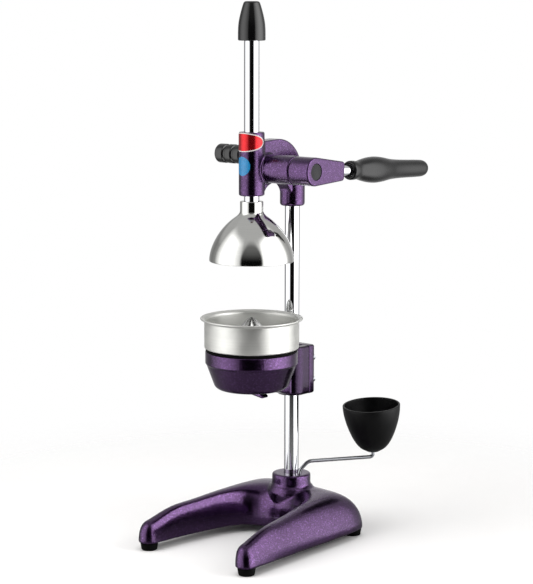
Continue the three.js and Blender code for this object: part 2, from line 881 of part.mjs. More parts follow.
function headCasting() {
  const sleeve = turnedZ(bar(sleeveDiameter / 2, sleeveBottomHeight, sleeveTopHeight, castEdge), wideSides);
  const bridge = slab(bridgeOutline(), webThickness, webEdge);
  bridge.translate(0, 0, -webThickness / 2).applyMatrix4(sideways);
  const socket = turnedZ(
    bar(socketDiameter / 2, socketBottomHeight, socketTopHeight, 2 * castEdge), wideSides);
  socket.translate(0, columnSetback, 0);
  const bossRadius = bossDiameter / 2;
  const boss = turnedX([
    [0, 0],
    [bossRadius + bossFillet, 0],
    ...arc(bossRadius + bossFillet, webThickness / 2 + bossFillet, bossFillet, -90, -180, taperSteps),
    [bossRadius, bossFaceX - castEdge / 2],
    [bossRadius - castEdge / 2, bossFaceX],
    [0, bossFaceX],
  ], wideSides).translate(0, pinionY, pinionHeight);
  const endBoss = turnedX(bar(pinionEndBossDiameter / 2, pinionEndFaceX, 0, castEdge), wideSides);
  endBoss.translate(0, pinionY, pinionHeight);
  const gripBoss = turnedX(
    bar(gripBossDiameter / 2, -webThickness / 2 - gripBossLength, 0, castEdge), wideSides);
  gripBoss.translate(0, gripSetback, gripHeight);
  const solid = join(sleeve, bridge, socket, boss, endBoss, gripBoss);
  return cut(solid, ...headBores());
}

function headBores() {
  const rod = turnedZ(bar(rodBore, sleeveBottomHeight - cutOver, sleeveTopHeight + cutOver));
  const upright = turnedZ(bar(columnBore, socketBottomHeight - cutOver, socketTopHeight - socketRoof));
  upright.translate(0, columnSetback, 0);
  const shaft = turnedX(bar(pinionBore, gearEndX - runGap, bossFaceX + cutOver), wideSides);
  const spigot = turnedX(bar(pinionSpigotDiameter / 2 + runGap, pinionEndFaceX - cutOver, 0));
  shaft.translate(0, pinionY, pinionHeight);
  spigot.translate(0, pinionY, pinionHeight);
  const gripEndX = -webThickness / 2 - gripBossLength;
  const stud = turnedX(
    bar(gripStudDiameter / 2 + fitGap, gripEndX - cutOver, gripEndX + gripStudHalf + fitGap), screwSides);
  stud.translate(0, gripSetback, gripHeight);
  const grub = turned(bar(setScrewDiameter / 2 + fitGap, 0, socketDiameter), screwSides);
  grub.translate(0, columnSetback, setScrewHeight);
  return [rod, upright, shaft, spigot, stud, grub];
}

function headSetScrew() {
  const tip = columnDiameter / 2 + fitGap;
  const end = socketDiameter / 2 - castEdge / 2;
  const body = turned(bar(setScrewDiameter / 2, tip, end), screwSides);
  const key = slab(hexagon(setScrewDiameter * keyShare), setScrewSocket).rotateX(-Math.PI / 2);
  return cut(body, key.translate(0, end - setScrewSocket + castEdge, 0));
}

// Side grip: a moulded sleeve with grooves between its ribs

function sideGrip() {
  const radius = gripDiameter / 2;
  const from = webThickness / 2 + gripBossLength + fitGap;
  const to = from + gripLength;
  const outline = [[0, from], [radius - gripGroove, from]];
  const span = (gripLength - gripEdge) / gripRibs;
  const [rise, full, fall] = gripRibShares;
  for (let i = 0; i < gripRibs; i += 1) {
    const start = from + i * span;
    outline.push([radius - gripGroove, start + span * rise]);
    outline.push([radius, start + span * full]);
    outline.push([radius, start + span * fall]);
    outline.push([radius - gripGroove, start + span]);
  }
  outline.pop();
  outline.push(...arc(radius - gripEdge, to - gripEdge, gripEdge, 0, 90, cornerSteps), [0, to]);
  const bore = turnedX(bar(gripStudDiameter / 2 + fitGap, from - cutOver, from + gripStudHalf), screwSides);
  return cut(turnedX(outline), bore).rotateZ(Math.PI);
}

function gripStud() {
  const joint = -webThickness / 2 - gripBossLength;
  return turnedX(bar(gripStudDiameter / 2, joint - gripStudHalf, joint + gripStudHalf), screwSides);
}

// Pinion: gear teeth cut on the end of the shaft, a journal, and a flatted end for the lever

function involute(angle) {
  return Math.tan(angle) - angle;
}

function gearOutline() {
  const baseRadius = pinionPitchRadius * Math.cos(pressureAngle);
  const thickness = toothPitch / 2 - toothBacklash;
  const halfAngle = (radius) => {
    const at = Math.acos(Math.min(1, baseRadius / radius));
    return thickness / (2 * pinionPitchRadius) + involute(pressureAngle) - involute(at);
  };
  const radii = [pinionRootRadius];
  for (let i = 0; i <= flankSteps; i += 1) {
    radii.push(baseRadius + (pinionTipRadius - baseRadius) * i / flankSteps);
  }
  const points = [];
  for (let tooth = 0; tooth < pinionTeeth; tooth += 1) {
    const middle = Math.PI + leverDroop + (tooth + 0.5) * 2 * Math.PI / pinionTeeth;
    for (const radius of radii) {
      const angle = middle - halfAngle(radius);
      points.push([radius * Math.cos(angle), radius * Math.sin(angle)]);
    }
    for (const radius of radii.slice().reverse()) {
      const angle = middle + halfAngle(radius);
      points.push([radius * Math.cos(angle), radius * Math.sin(angle)]);
    }
  }
  return points;
}

function flatCutter(radius, flat, from, to) {
  return block(from, to, -radius - cutOver, radius + cutOver, radius - flat, radius + cutOver);
}

function pinionShaft() {
  const drive = driveDiameter / 2;
  const gear = slab(gearOutline(), 2 * gearHalfWidth).translate(0, 0, -gearHalfWidth).applyMatrix4(sideways);
  const journal = turnedX(bar(pinionTipRadius, gearHalfWidth, bossFaceX));
  const spigot = turnedX(bar(pinionSpigotDiameter / 2, pinionEndFaceX, gearEndX + cutOver));
  const driveEnd = turnedX(bar(drive, bossFaceX - cutOver, leverHubX + driveLength));
  const flat = flatCutter(drive, driveFlat, leverHubX, leverHubX + driveLength + cutOver);
  const screwHole = turnedX(bar(pinionScrewDiameter / 2 + fitGap,
    pinionEndFaceX - cutOver, pinionEndFaceX + pinionScrewThread + fitGap), screwSides);
  const driveEndX = leverHubX + driveLength;
  const hubHole = turnedX(bar(hubScrewDiameter / 2 + fitGap,
    driveEndX - hubScrewThread - fitGap, driveEndX + cutOver), screwSides);
  return cut(join(gear, journal, spigot, cut(driveEnd, flat)), screwHole, hubHole);
}

function pinionWasher() {
  const face = pinionEndFaceX - fitGap;
  return turnedX(ring(pinionScrewDiameter / 2 + fitGap, pinionWasherDiameter / 2,
    face - pinionWasherThickness, face));
}

function pinionScrew() {
  const under = pinionEndFaceX - pinionWasherThickness - 2 * fitGap;
  const length = under - pinionEndFaceX;
  const screw = socketScrew(pinionScrewHeadDiameter, pinionScrewHeadHeight, pinionScrewDiameter,
    pinionScrewThread - length, 0);
  return screw.rotateY(-Math.PI / 2).translate(under - pinionScrewHeadHeight, 0, 0);
}

// Lever: cast arm on the pinion shaft, with a chrome rod and a moulded grip

function armOutline() {
  const radius = leverHubDiameter / 2;
  const slope = Math.asin((radius - leverArmEndHalf) / leverArmReach);
  const lean = THREE.MathUtils.radToDeg(slope);
  const corner = leverArmCorner;
  const endY = leverArmReach - corner;
  return [
    ...arc(0, 0, radius, 90 - lean, 270 + lean, 2 * sweepSteps),
    ...arc(endY, -leverArmEndHalf + corner, corner, -90, 0, cornerSteps),
    ...arc(endY, leverArmEndHalf - corner, corner, 0, 90, cornerSteps),
  ];
}

const leverRodX = leverHubEndX - leverArmThickness / 2;

function leverArm() {
  const arm = slab(armOutline(), leverArmThickness, leverArmEdge);
  arm.translate(0, 0, leverHubEndX - leverArmThickness).applyMatrix4(sideways);
  const hub = turnedX(bar(leverHubDiameter / 2, leverHubX, leverHubEndX - leverArmEdge, castEdge / 2), wideSides);
  const drive = driveDiameter / 2 + fitGap;
  const driveEndX = leverHubX + driveLength;
  const shaftHole = cut(turnedX(bar(drive, leverHubX - cutOver, driveEndX)),
    flatCutter(drive, driveFlat, leverHubX - 2 * cutOver, driveEndX + cutOver));
  const capHole = turnedX(bar(hubCapDiameter / 2 + fitGap, driveEndX + 2 * fitGap, leverHubEndX + cutOver));
  const screwHole = turnedX(bar(hubScrewDiameter / 2 + fitGap, leverHubX, leverHubEndX), screwSides);
  const rodHole = turned(bar(leverRodDiameter / 2 + fitGap,
    leverArmReach - leverRodSeat - fitGap, leverArmReach + cutOver), screwSides);
  rodHole.translate(leverRodX, 0, 0);
  const grubHole = turnedZ(bar(leverSetScrewDiameter / 2 + fitGap, 0, leverHubDiameter), screwSides);
  grubHole.translate(leverRodX, leverArmReach - leverRodSeat / 2, 0);
  return cut(join(arm, hub), shaftHole, capHole, screwHole, rodHole, grubHole);
}

function leverSetScrew() {
  const tip = leverRodDiameter / 2 + fitGap;
  const top = leverArmEndHalf - castEdge / 2;
  const body = turnedZ(bar(leverSetScrewDiameter / 2, tip, top), screwSides);
  const key = slab(hexagon(leverSetScrewDiameter * keyShare), setScrewSocket);
  return cut(body, key.translate(0, 0, top - setScrewSocket / 2))
    .translate(leverRodX, leverArmReach - leverRodSeat / 2, 0);
}

function hubScrew() {
  const driveEndX = leverHubX + driveLength;
  const top = driveEndX + 3 * fitGap + hubScrewHeadHeight;
  const screw = socketScrew(hubScrewHeadDiameter, hubScrewHeadHeight, hubScrewDiameter,
    hubScrewThread, 0);
  return screw.rotateY(Math.PI / 2).translate(top, 0, 0);
}

function hubCap() {
  const face = leverHubEndX - hubCapSink;
  return turnedX(bar(hubCapDiameter / 2, face - hubCapThickness, face, castEdge / 3));
}

function leverRod() {
  const from = leverArmReach - leverRodSeat;
  return turned(bar(leverRodDiameter / 2, from, gripStart + leverRodInGrip), screwSides)
    .translate(leverRodX, 0, 0);
}

function leverGrip() {
  const length = gripEnd - gripStart;
  const outline = leverGripShares.map(([along, width]) => [
    width * leverGripDiameter / 2, gripStart + along * length]);
  const bore = turned(bar(leverRodDiameter / 2 + fitGap,
    gripStart - cutOver, gripStart + leverRodInGrip + fitGap), screwSides);
  return cut(turned([[0, gripStart], ...outline, [0, gripEnd]], rodSides), bore)
    .translate(leverRodX, 0, 0);
}

// Juice bowl: a cast cup with a drain chute below and a bracket that holds the column

function bowlShell() {
  const top = bowlDiameter / 2;
  const bottom = bowlBottomDiameter / 2;
  const inner = top - bowlWall;
  return turnedZ([
    [0, bowlBottomHeight],
    ...arc(bottom - bowlCorner, bowlBottomHeight + bowlCorner, bowlCorner, -90, -bowlLean, 2 * cornerSteps),
    [top - castEdge / 3, bowlBandHeight],
    [top, bowlBandHeight + castEdge],
    [top, bowlTopHeight - castEdge / 2],
    [top - castEdge / 2, bowlTopHeight],
    [inner + bowlSeatWidth, bowlTopHeight],
    [inner + bowlSeatWidth, bowlTopHeight + bowlSeatRise],
    [inner, bowlTopHeight + bowlSeatRise],
    [inner, bowlBandHeight],
    [bottom - bowlWall, bowlBottomHeight + bowlFloor + bowlCorner / 2],
    [bottom - bowlCorner - bowlWall / 2, bowlBottomHeight + bowlFloor],
    [0, bowlBottomHeight + bowlFloor],
  ], wideSides);
}

// The solid space inside the bowl, which trims the bracket
function bowlInside() {
  const inner = bowlDiameter / 2 - bowlWall;
  return turnedZ([
    [0, bowlBottomHeight + bowlFloor],
    [bowlBottomDiameter / 2 - bowlWall, bowlBottomHeight + bowlFloor + bowlCorner / 2],
    [inner, bowlBandHeight],
    [inner, bowlTopHeight + bowlWall],
    [0, bowlTopHeight + bowlWall],
  ], wideSides);
}

function spout() {
  const under = bowlBottomHeight + bowlFloor / 2;
  const outline = [
    [spoutBackX, under],
    [spoutBackX + spoutWall, bowlBottomHeight - spoutWall],
    [spoutTipX - spoutLip, spoutTipHeight],
    [spoutTipX, spoutTipHeight + spoutLip],
    [drainFrontX + 2 * spoutWall, bowlBottomHeight],
    [drainFrontX + 2 * spoutWall, under],
  ];
  const depth = 2 * spoutHalfWidth;
  return slab(outline, depth).applyMatrix4(fromFront).translate(0, spoutHalfWidth, 0);
}

function drain() {
  const backX = spoutBackX + 2 * spoutWall;
  const top = bowlBottomHeight + bowlFloor + cutOver;
  const outline = [
    [backX, bowlBottomHeight - spoutWall / 2],
    [spoutTipX + cutOver, spoutTipHeight + spoutLip],
    [spoutTipX + cutOver, bowlBottomHeight - spoutWall / 2],
    [drainFrontX, bowlBottomHeight],
    [drainFrontX, top],
    [backX, top],
  ];
  const half = spoutHalfWidth - spoutWall;
  return slab(outline, 2 * half).applyMatrix4(fromFront).translate(0, half, 0);
}

function bracket() {
  const half = bracketHalfWidth;
  const sleeve = turnedZ(bar(half, bracketBottomHeight, bracketTopHeight, castEdge), wideSides);
  sleeve.translate(0, columnSetback, 0);
  const under = new THREE.QuadraticBezierCurve(
    new THREE.Vector2(bowlBottomDiameter / 4, bowlBottomHeight + bowlFloor / 2),
    new THREE.Vector2(columnSetback - 2 * half, bracketWebBottomHeight),
    new THREE.Vector2(columnSetback - half / 2, bracketBottomHeight));
  const outline = [
    ...under.getPoints(taperSteps).map((point) => [point.x, point.y]),
    [bracketSeamY + cutOver, bracketBottomHeight],
    [bracketSeamY + cutOver, bracketTopHeight],
    [bowlBottomDiameter / 4, bracketTopHeight],
  ];
  const web = slab(outline, 2 * half, castEdge).translate(0, 0, -half).applyMatrix4(sideways);
  const behind = block(-2 * half, 2 * half, bracketSeamY, clampBackY,
    bracketBottomHeight - cutOver, bracketTopHeight + cutOver);
  return cut(join(sleeve, web), behind, bowlInside());
}

function clampScrewPlaces() {
  const places = [];
  for (const x of [-clampScrewX, clampScrewX]) {
    for (const rise of [-clampScrewRise, clampScrewRise]) {
      places.push([x, clampMiddleHeight + rise]);
    }
  }
  return places;
}

function bowlCasting() {
  const bore = turnedZ(bar(columnBore, bracketBottomHeight - cutOver, bracketTopHeight + cutOver));
  bore.translate(0, columnSetback, 0);
  const channel = block(-columnBore, columnBore, columnSetback, bracketSeamY + cutOver,
    bracketBottomHeight - cutOver, bracketTopHeight + cutOver);
  const holes = clampScrewPlaces().map(([x, z]) => {
    const hole = bar(clampScrewDiameter / 2 + fitGap,
      bracketSeamY - clampScrewThread - fitGap, bracketSeamY + cutOver);
    return turned(hole, screwSides).translate(x, 0, z);
  });
  return cut(join(bowlShell(), spout(), bracket()), drain(), bore, channel, ...holes);
}

function clampOutline() {
  const half = bracketHalfWidth;
  const front = bracketSeamY + fitGap;
  const corner = clampCorner;
  return [
    [-half, front],
    [half, front],
    ...arc(half - corner, clampBackY - corner, corner, 0, 90, cornerSteps),
    ...arc(-half + corner, clampBackY - corner, corner, 90, 180, cornerSteps),
  ];
}

function clampPlate() {
  const plate = slab(clampOutline(), 2 * clampRise, clampEdge).translate(0, 0, bracketBottomHeight);
  const padFront = columnSetback + columnDiameter / 2 + fitGap;
  const padHalf = columnBore - fitGap;
  const pad = block(-padHalf, padHalf, padFront, bracketSeamY + 2 * fitGap + clampEdge,
    bracketBottomHeight + clampEdge, bracketTopHeight - clampEdge);
  const sinkFloor = clampBackY - clampScrewHeadHeight - fitGap;
  const cutters = clampScrewPlaces().flatMap(([x, z]) => {
    const hole = turned(bar(clampScrewDiameter / 2 + fitGap, bracketSeamY - cutOver, clampBackY), screwSides);
    const sink = turned(bar(clampScrewHeadDiameter / 2 + fitGap, sinkFloor, clampBackY + cutOver), screwSides);
    return [hole.translate(x, 0, z), sink.translate(x, 0, z)];
  });
  return cut(join(plate, pad), ...cutters);
}

function clampScrew() {
  const under = clampBackY - clampScrewHeadHeight;
  const length = under - bracketSeamY + clampScrewThread;
  const screw = socketScrew(clampScrewHeadDiameter, clampScrewHeadHeight, clampScrewDiameter, length, 0);
  return screw.rotateX(-Math.PI / 2).translate(0, clampBackY, 0);
}

// Strainer: pressed sheet with a flared rim, a step that hangs it in the bowl and a slotted floor

function strainerBowl() {
  const wall = strainerDiameter / 2;
  const flange = strainerFlangeDiameter / 2;
  const sheet = strainerSheet;
  const drop = bowlDiameter / 2 - bowlWall - 2 * fitGap;
  const hole = reamerPegDiameter / 2 + fitGap;
  const shelf = strainerWallBottom;
  const floor = strainerFloorHeight;
  const bend = strainerBend;
  const rise = strainerTopHeight - strainerFlangeRise;
  const body = turnedZ([
    [hole, floor],
    ...arc(drop - bend, floor + bend, bend, -90, 0, cornerSteps),
    [drop, shelf],
    ...arc(wall - bend, shelf + bend, bend, -90, 0, cornerSteps),
    [wall, rise],
    [wall + sheet / 2, rise + strainerFlangeRise / 2],
    [flange - strainerRoll, strainerTopHeight - strainerRoll],
    [flange, strainerTopHeight - strainerRoll / 3],
    [flange - strainerRoll / 3, strainerTopHeight],
    [wall + sheet, strainerTopHeight - strainerRoll],
    [wall - sheet / 2, rise + strainerFlangeRise / 2],
    [wall - sheet, rise],
    [wall - sheet, shelf + bend],
    [wall - bend, shelf + sheet],
    [drop - sheet, shelf + sheet],
    [drop - sheet, floor + bend],
    [drop - bend, floor + sheet],
    [hole, floor + sheet],
  ], wideSides);
  const slots = [];
  const from = drop - bend - sheet - strainerSlotLength;
  for (let i = 0; i < strainerSlots; i += 1) {
    const slot = block(from, from + strainerSlotLength, -strainerSlotWidth / 2, strainerSlotWidth / 2,
      floor - cutOver, floor + cutOver);
    slots.push(slot.rotateZ((i + 0.5) * 2 * Math.PI / strainerSlots));
  }
  return cut(body, ...slots);
}

// Reamer: a cone whose section is a ring of round ribs

function reamerCone() {
  const base = strainerFloorHeight + strainerSheet + fitGap;
  const sides = reamerRibs * reamerSidesPerRib;
  const rings = [];
  for (let i = 0; i <= reamerSteps; i += 1) {
    const up = Math.sin(Math.PI / 2 * i / reamerSteps);
    const radius = reamerDiameter / 2 * (1 - up ** reamerSidePower) ** reamerTipPower;
    const points = [];
    for (let j = 0; j < sides; j += 1) {
      const angle = 2 * Math.PI * j / sides;
      const wave = Math.abs(Math.sin(reamerRibs * angle / 2));
      const reach = radius * (1 - reamerRibDepthShare + reamerRibDepthShare * wave);
      points.push(new THREE.Vector3(reach * Math.cos(angle), reach * Math.sin(angle),
        base + reamerHeight * up));
    }
    rings.push(points);
  }
  const peg = turnedZ(bar(reamerPegDiameter / 2, base - reamerPegLength, base + reamerPegLength), screwSides);
  return join(loft(rings), peg);
}

// Drip cup on a bent wire arm that turns in the hub; built from its pivot, reaching along +X

function dripArm() {
  const corners = [
    new THREE.Vector3(0, 0, hubTopHeight - dripPinDepth),
    new THREE.Vector3(0, 0, hubTopHeight + dripElbowRise),
    new THREE.Vector3(dripShoulderReach, 0, dripArmHeight),
    new THREE.Vector3(dripReach, 0, dripArmHeight),
    new THREE.Vector3(dripReach, 0, dripCupBottomHeight + dripStubInCup),
  ];
  const bends = [dripElbowBend, dripShoulderBend, dripStubBend];
  const path = new THREE.CurvePath();
  let last = corners[0];
  bends.forEach((bend, i) => {
    const corner = corners[i + 1];
    const before = corner.clone().sub(corners[i]).setLength(-bend).add(corner);
    const after = corners[i + 2].clone().sub(corner).setLength(bend).add(corner);
    path.add(new THREE.LineCurve3(last, before));
    path.add(new THREE.QuadraticBezierCurve3(before, corner, after));
    last = after;
  });
  path.add(new THREE.LineCurve3(last, corners[corners.length - 1]));
  const section = arc(0, 0, wireDiameter / 2, 0, 360 - 360 / wireSides, wireSides - 1);
  const shape = new THREE.Shape(section.map(([x, y]) => new THREE.Vector2(x, y)));
  return new THREE.ExtrudeGeometry(shape, { steps: wirePathPieces, extrudePath: path, bevelEnabled: false });
}

// The cup's outer radius at a height, on a curve that is steep at the rim and round at the foot
function dripCupRadius(height) {
  const down = 1 - Math.max(0, height) / dripCupHeight;
  return dripCupRimDiameter / 2 * (1 - down ** dripCupSidePower) ** dripCupRoundPower;
}

function dripCup() {
  const outside = [];
  const inside = [];
  for (let i = 0; i <= dripCupSteps; i += 1) {
    const share = (i / dripCupSteps) ** dripCupStepPower;
    const height = dripCupHeight * (dripCupFootShare + (1 - dripCupFootShare) * share);
    outside.push([dripCupRadius(height), height]);
    const inner = dripCupFloor + (dripCupHeight - dripCupFloor) * share;
    inside.push([dripCupRadius(inner - dripCupWall) - dripCupWall, inner]);
  }
  const body = turnedZ([
    [0, 0],
    [outside[0][0] - dripCupFootShare * dripCupHeight, 0],
    ...outside,
    ...inside.reverse(),
    [0, dripCupFloor],
  ], dripCupSides);
  const bore = turnedZ(bar(wireDiameter / 2 + 2 * fitGap, -cutOver, dripStubInCup + fitGap), screwSides);
  return cut(body, bore);
}

// The press, built up from its pieces

const stand = group(
  piece("base_casting", baseCasting(), flakePaint),
  feet(),
);

const upright = group(
  piece("column", column(), chrome),
  piece("column_washer", columnWasher(), steel),
  piece("column_bolt", columnBolt(), steel),
);
upright.position.y = columnSetback;

const head = group(piece("head_casting", headCasting(), flakePaint));
const setScrew = piece("head_set_screw", headSetScrew(), steel);
setScrew.position.set(0, columnSetback, setScrewHeight);
const sideGripGroup = group(
  piece("side_grip", sideGrip(), blackPlastic),
  piece("side_grip_stud", gripStud(), steel),
);
sideGripGroup.position.set(0, gripSetback, gripHeight);
head.add(setScrew, sideGripGroup);

const rack = group(
  piece("rack_rod", rackRod(), chrome),
  piece("rack_cap", rackCap(), blackPlastic),
  piece("press_bell", pressBell(), polished),
  piece("bell_nut", bellNut(), steel),
);

const lever = group(
  piece("pinion_shaft", pinionShaft(), steel),
  piece("pinion_washer", pinionWasher(), steel),
  piece("pinion_screw", pinionScrew(), steel),
  piece("lever_arm", leverArm(), flakePaint),
  piece("lever_set_screw", leverSetScrew(), steel),
  piece("lever_hub_screw", hubScrew(), steel),
  piece("lever_hub_cap", hubCap(), greyPlastic),
  piece("lever_rod", leverRod(), chrome),
  piece("lever_grip", leverGrip(), blackPlastic),
);
lever.position.set(0, pinionY, pinionHeight);
lever.rotation.x = -leverDroop;

const bowl = group(
  piece("bowl_casting", bowlCasting(), flakePaint),
  piece("clamp_plate", clampPlate(), flakePaint),
  piece("strainer_bowl", strainerBowl(), stainless),
  piece("reamer_cone", reamerCone(), polished),
);
clampScrewPlaces().forEach(([x, z], i) => {
  const screw = piece(`clamp_screw_${i + 1}`, clampScrew(), steel);
  screw.position.set(x, 0, z);
  bowl.add(screw);
});

const cup = piece("drip_cup", dripCup(), blackPlastic);
cup.position.set(dripReach, 0, dripCupBottomHeight);
cup.quaternion.setFromAxisAngle(
  new THREE.Vector3(Math.cos(dripCupTiltTurn), Math.sin(dripCupTiltTurn), 0), dripCupTilt);
const drip = group(piece("drip_arm", dripArm(), chrome), cup);
drip.position.set(dripPivotX, dripPivotY, 0);
drip.rotation.z = dripRestAngle;

const press = group(stand, upright, head, rack, lever, bowl, drip);
press.updateMatrixWorld(true);
const box = new THREE.Box3().setFromObject(press, true);
const middle = box.getCenter(new THREE.Vector3());
press.position.set(-middle.x, -middle.y, -box.min.z);

export default press;
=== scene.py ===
"""Dresses a hand lever citrus press: flake-painted castings, chrome rods, a polished bell, a satin
strainer, moulded grips and rubber feet, and the studio it stands in."""

import json
import math
from functools import partial

import bmesh
import bpy
from bpy.props import FloatProperty, FloatVectorProperty, IntProperty, PointerProperty
from mathutils import Matrix, Vector


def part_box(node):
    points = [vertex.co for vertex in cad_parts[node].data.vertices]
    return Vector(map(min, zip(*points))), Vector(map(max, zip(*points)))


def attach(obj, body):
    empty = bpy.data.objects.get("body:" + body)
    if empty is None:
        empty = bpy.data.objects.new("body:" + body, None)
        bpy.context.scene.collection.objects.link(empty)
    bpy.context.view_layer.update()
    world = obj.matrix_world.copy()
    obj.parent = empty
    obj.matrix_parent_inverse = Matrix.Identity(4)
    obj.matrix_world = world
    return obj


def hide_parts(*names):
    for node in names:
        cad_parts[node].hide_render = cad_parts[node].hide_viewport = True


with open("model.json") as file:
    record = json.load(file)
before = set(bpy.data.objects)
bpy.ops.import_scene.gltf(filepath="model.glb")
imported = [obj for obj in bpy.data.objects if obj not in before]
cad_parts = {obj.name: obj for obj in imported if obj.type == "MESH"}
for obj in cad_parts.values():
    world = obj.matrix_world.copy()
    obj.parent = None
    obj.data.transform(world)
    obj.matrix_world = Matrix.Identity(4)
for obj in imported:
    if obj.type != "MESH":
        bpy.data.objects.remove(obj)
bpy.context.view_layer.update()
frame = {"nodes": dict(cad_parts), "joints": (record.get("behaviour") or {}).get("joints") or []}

bl_info = {
    "name": "Citrus press dressing",
    "version": (1, 0, 0),
    "blender": (4, 5, 0),
    "location": "3D View > Sidebar > Press",
    "description": "Models and finishes the pieces of a hand lever citrus press around its solid frame",
    "category": "Add Mesh",
}

MM = 0.001
X = Vector((1, 0, 0))
Y = Vector((0, 1, 0))
Z = Vector((0, 0, 1))
FULL_TURN = 2 * math.pi
WELD = 0.01 * MM
# Clearance between a piece and what it runs in or stands on
GAP = 0.3 * MM
# Radius of the hole for a foot's or the clamp's screw, and for the drip arm's peg
SCREW_HOLE = 2.3 * MM
CORNERS = ("front_left", "front_right", "rear_left", "rear_right")


# Places read from the solid frame


def low(node):
    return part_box(node)[0]


def high(node):
    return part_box(node)[1]


def middle(node):
    lowest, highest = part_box(node)
    return (lowest + highest) / 2


def level(point, height):
    """The point moved to a height."""
    return Vector((point.x, point.y, height))


def foot_axis(corner):
    return level(middle(f"foot_{corner}"), 0)


def swing_axis():
    """Where the drip cup's wire stands in the hub, from its joint."""
    joint = next(j for j in frame["joints"] if j["name"] == "drip_swing")
    return level(Vector(joint["pos_m"]), 0)


ROD_AXIS = level(middle("rack_rod"), 0)
COLUMN_AXIS = level(middle("column"), 0)
SETBACK = COLUMN_AXIS.y - ROD_AXIS.y
PINION = middle("lever_hub_cap")
BOSS_AXIS = Vector((ROD_AXIS.x, PINION.y, PINION.z))
BASE_BOTTOM = low("base_casting").z
FRONT_FOOT = middle("foot_front_right") - ROD_AXIS


def colour(hex_code):
    """Linear red, green and blue of an sRGB hex code."""
    parts = [int(hex_code[i:i + 2], 16) / 255 for i in (0, 2, 4)]
    return tuple(c / 12.92 if c <= 0.04045 else ((c + 0.055) / 1.055) ** 2.4 for c in parts)


def size(label, default, description):
    return FloatProperty(name=label, description=description, default=default, unit="LENGTH", precision=5)


def swatch(label, default, description):
    return FloatVectorProperty(
        name=label, description=description, default=colour(default), subtype="COLOR", min=0, max=1)


def angle(label, default, description):
    return FloatProperty(
        name=label, description=description, default=math.radians(default), subtype="ANGLE")


class PressSizes(bpy.types.PropertyGroup):
    """Sizes of the dressed pieces, where the solid frame doesn't give them."""

    rod_radius: size("Rod radius", 8 * MM, "Radius of the column and of the press rod")
    edge: size("Casting edge", 1.4 * MM, "Rounding of the edges of a casting")
    casting_wall: size("Casting wall", 4 * MM, "Wall of the base and of the juice bowl")
    voxel: size("Casting grain", 0.85 * MM, "Mesh size of the head before it is smoothed")
    base_voxel: size("Base grain", 1.25 * MM, "Mesh size of the base before it is smoothed")
    hub_radius: size("Hub radius", 21 * MM, "Radius of the base's hub")
    hub_flare: size("Hub flare", 4.5 * MM, "How far the hub's step ring stands out")
    sleeve_radius: size("Sleeve radius", 13.5 * MM, "Radius of the sleeve that guides the press rod")
    socket_radius: size("Socket radius", 13.35 * MM, "Radius of the socket on top of the column")
    web: size("Web thickness", 16.5 * MM, "Thickness of the bridge between sleeve and socket")
    boss_radius: size("Boss radius", 15.1 * MM, "Radius of the pinion's boss")
    dome_radius: size("Dome radius", 38 * MM, "Radius of the round back of the bridge")
    bell_radius: size("Bell radius", 44.5 * MM, "Radius of the press bell's rim")
    bell_neck: size("Bell neck", 12.15 * MM, "Radius of the press bell's neck")
    bell_dome: size("Bell dome", 47 * MM, "Height of the press bell's dome")
    bell_wall: size("Bell wall", 3 * MM, "Wall of the press bell")
    bowl_radius: size("Bowl radius", 49 * MM, "Radius of the juice bowl's band")
    bowl_foot: size("Bowl bottom", 40.5 * MM, "Radius of the juice bowl's bottom")
    strainer_radius: size("Strainer radius", 49.9 * MM, "Radius of the strainer's wall")
    strainer_flange: size("Strainer flange", 54.1 * MM, "Radius of the strainer's rolled lip")
    sheet: size("Strainer sheet", 1.2 * MM, "Thickness of the strainer's sheet")
    reamer_radius: size("Reamer radius", 29 * MM, "Radius of the reamer's foot")
    grip_skirt: size("Side grip skirt", 10 * MM, "How far the side grip reaches over its boss")
    grip_radius: size("Lever grip radius", 14 * MM, "Largest radius of the lever's grip")
    wire_radius: size("Wire radius", 2 * MM, "Radius of the drip cup's wire arm")
    cup_radius: size("Drip cup radius", 31.5 * MM, "Radius of the drip cup's rim")
    cup_wall: size("Drip cup wall", 2.4 * MM, "Wall of the drip cup")
    steps: IntProperty(name="Turning steps", description="Steps round a turned piece", default=96, min=24)


class PressFinishes(bpy.types.PropertyGroup):
    """Colours of the finishes."""

    paint: swatch("Paint", "483154", "Body colour of the flake paint")
    paint_deep: swatch("Deep paint", "3b2745", "Flakes that lie away from the light")
    paint_glint: swatch("Flake glint", "664b78", "Flakes that catch the light")
    chrome: swatch("Chrome", "dcdde0", "Chrome plate on the rods")
    bell: swatch("Bell", "d2d2cf", "Polished bell")
    stainless: swatch("Stainless", "cfcfcb", "Satin stainless sheet")
    reamer: swatch("Reamer", "bdbdbb", "Cast aluminium reamer")
    zinc: swatch("Zinc", "a9abb0", "Zinc-plated fasteners")
    plastic: swatch("Black plastic", "0a0a0b", "Moulded grips, cap and drip cup")
    disc: swatch("Grey plastic", "242326", "Disc over the lever's hub")
    # The seal ring under the strainer takes this black as a painted shadow line
    rubber: swatch("Rubber", "090909", "Feet and the seal under the strainer")
    band: swatch("Oval", "c01820", "Plain oval film on the sleeve")
    wire: swatch("Wire", "8f9094", "Bright drawn wire of the drip cup's arm")
    dot: swatch("Dot", "1a84bd", "Plain coloured dot on the sleeve")
    band_edge: swatch("Oval border", "e9e4e2", "Pale border of the oval film")


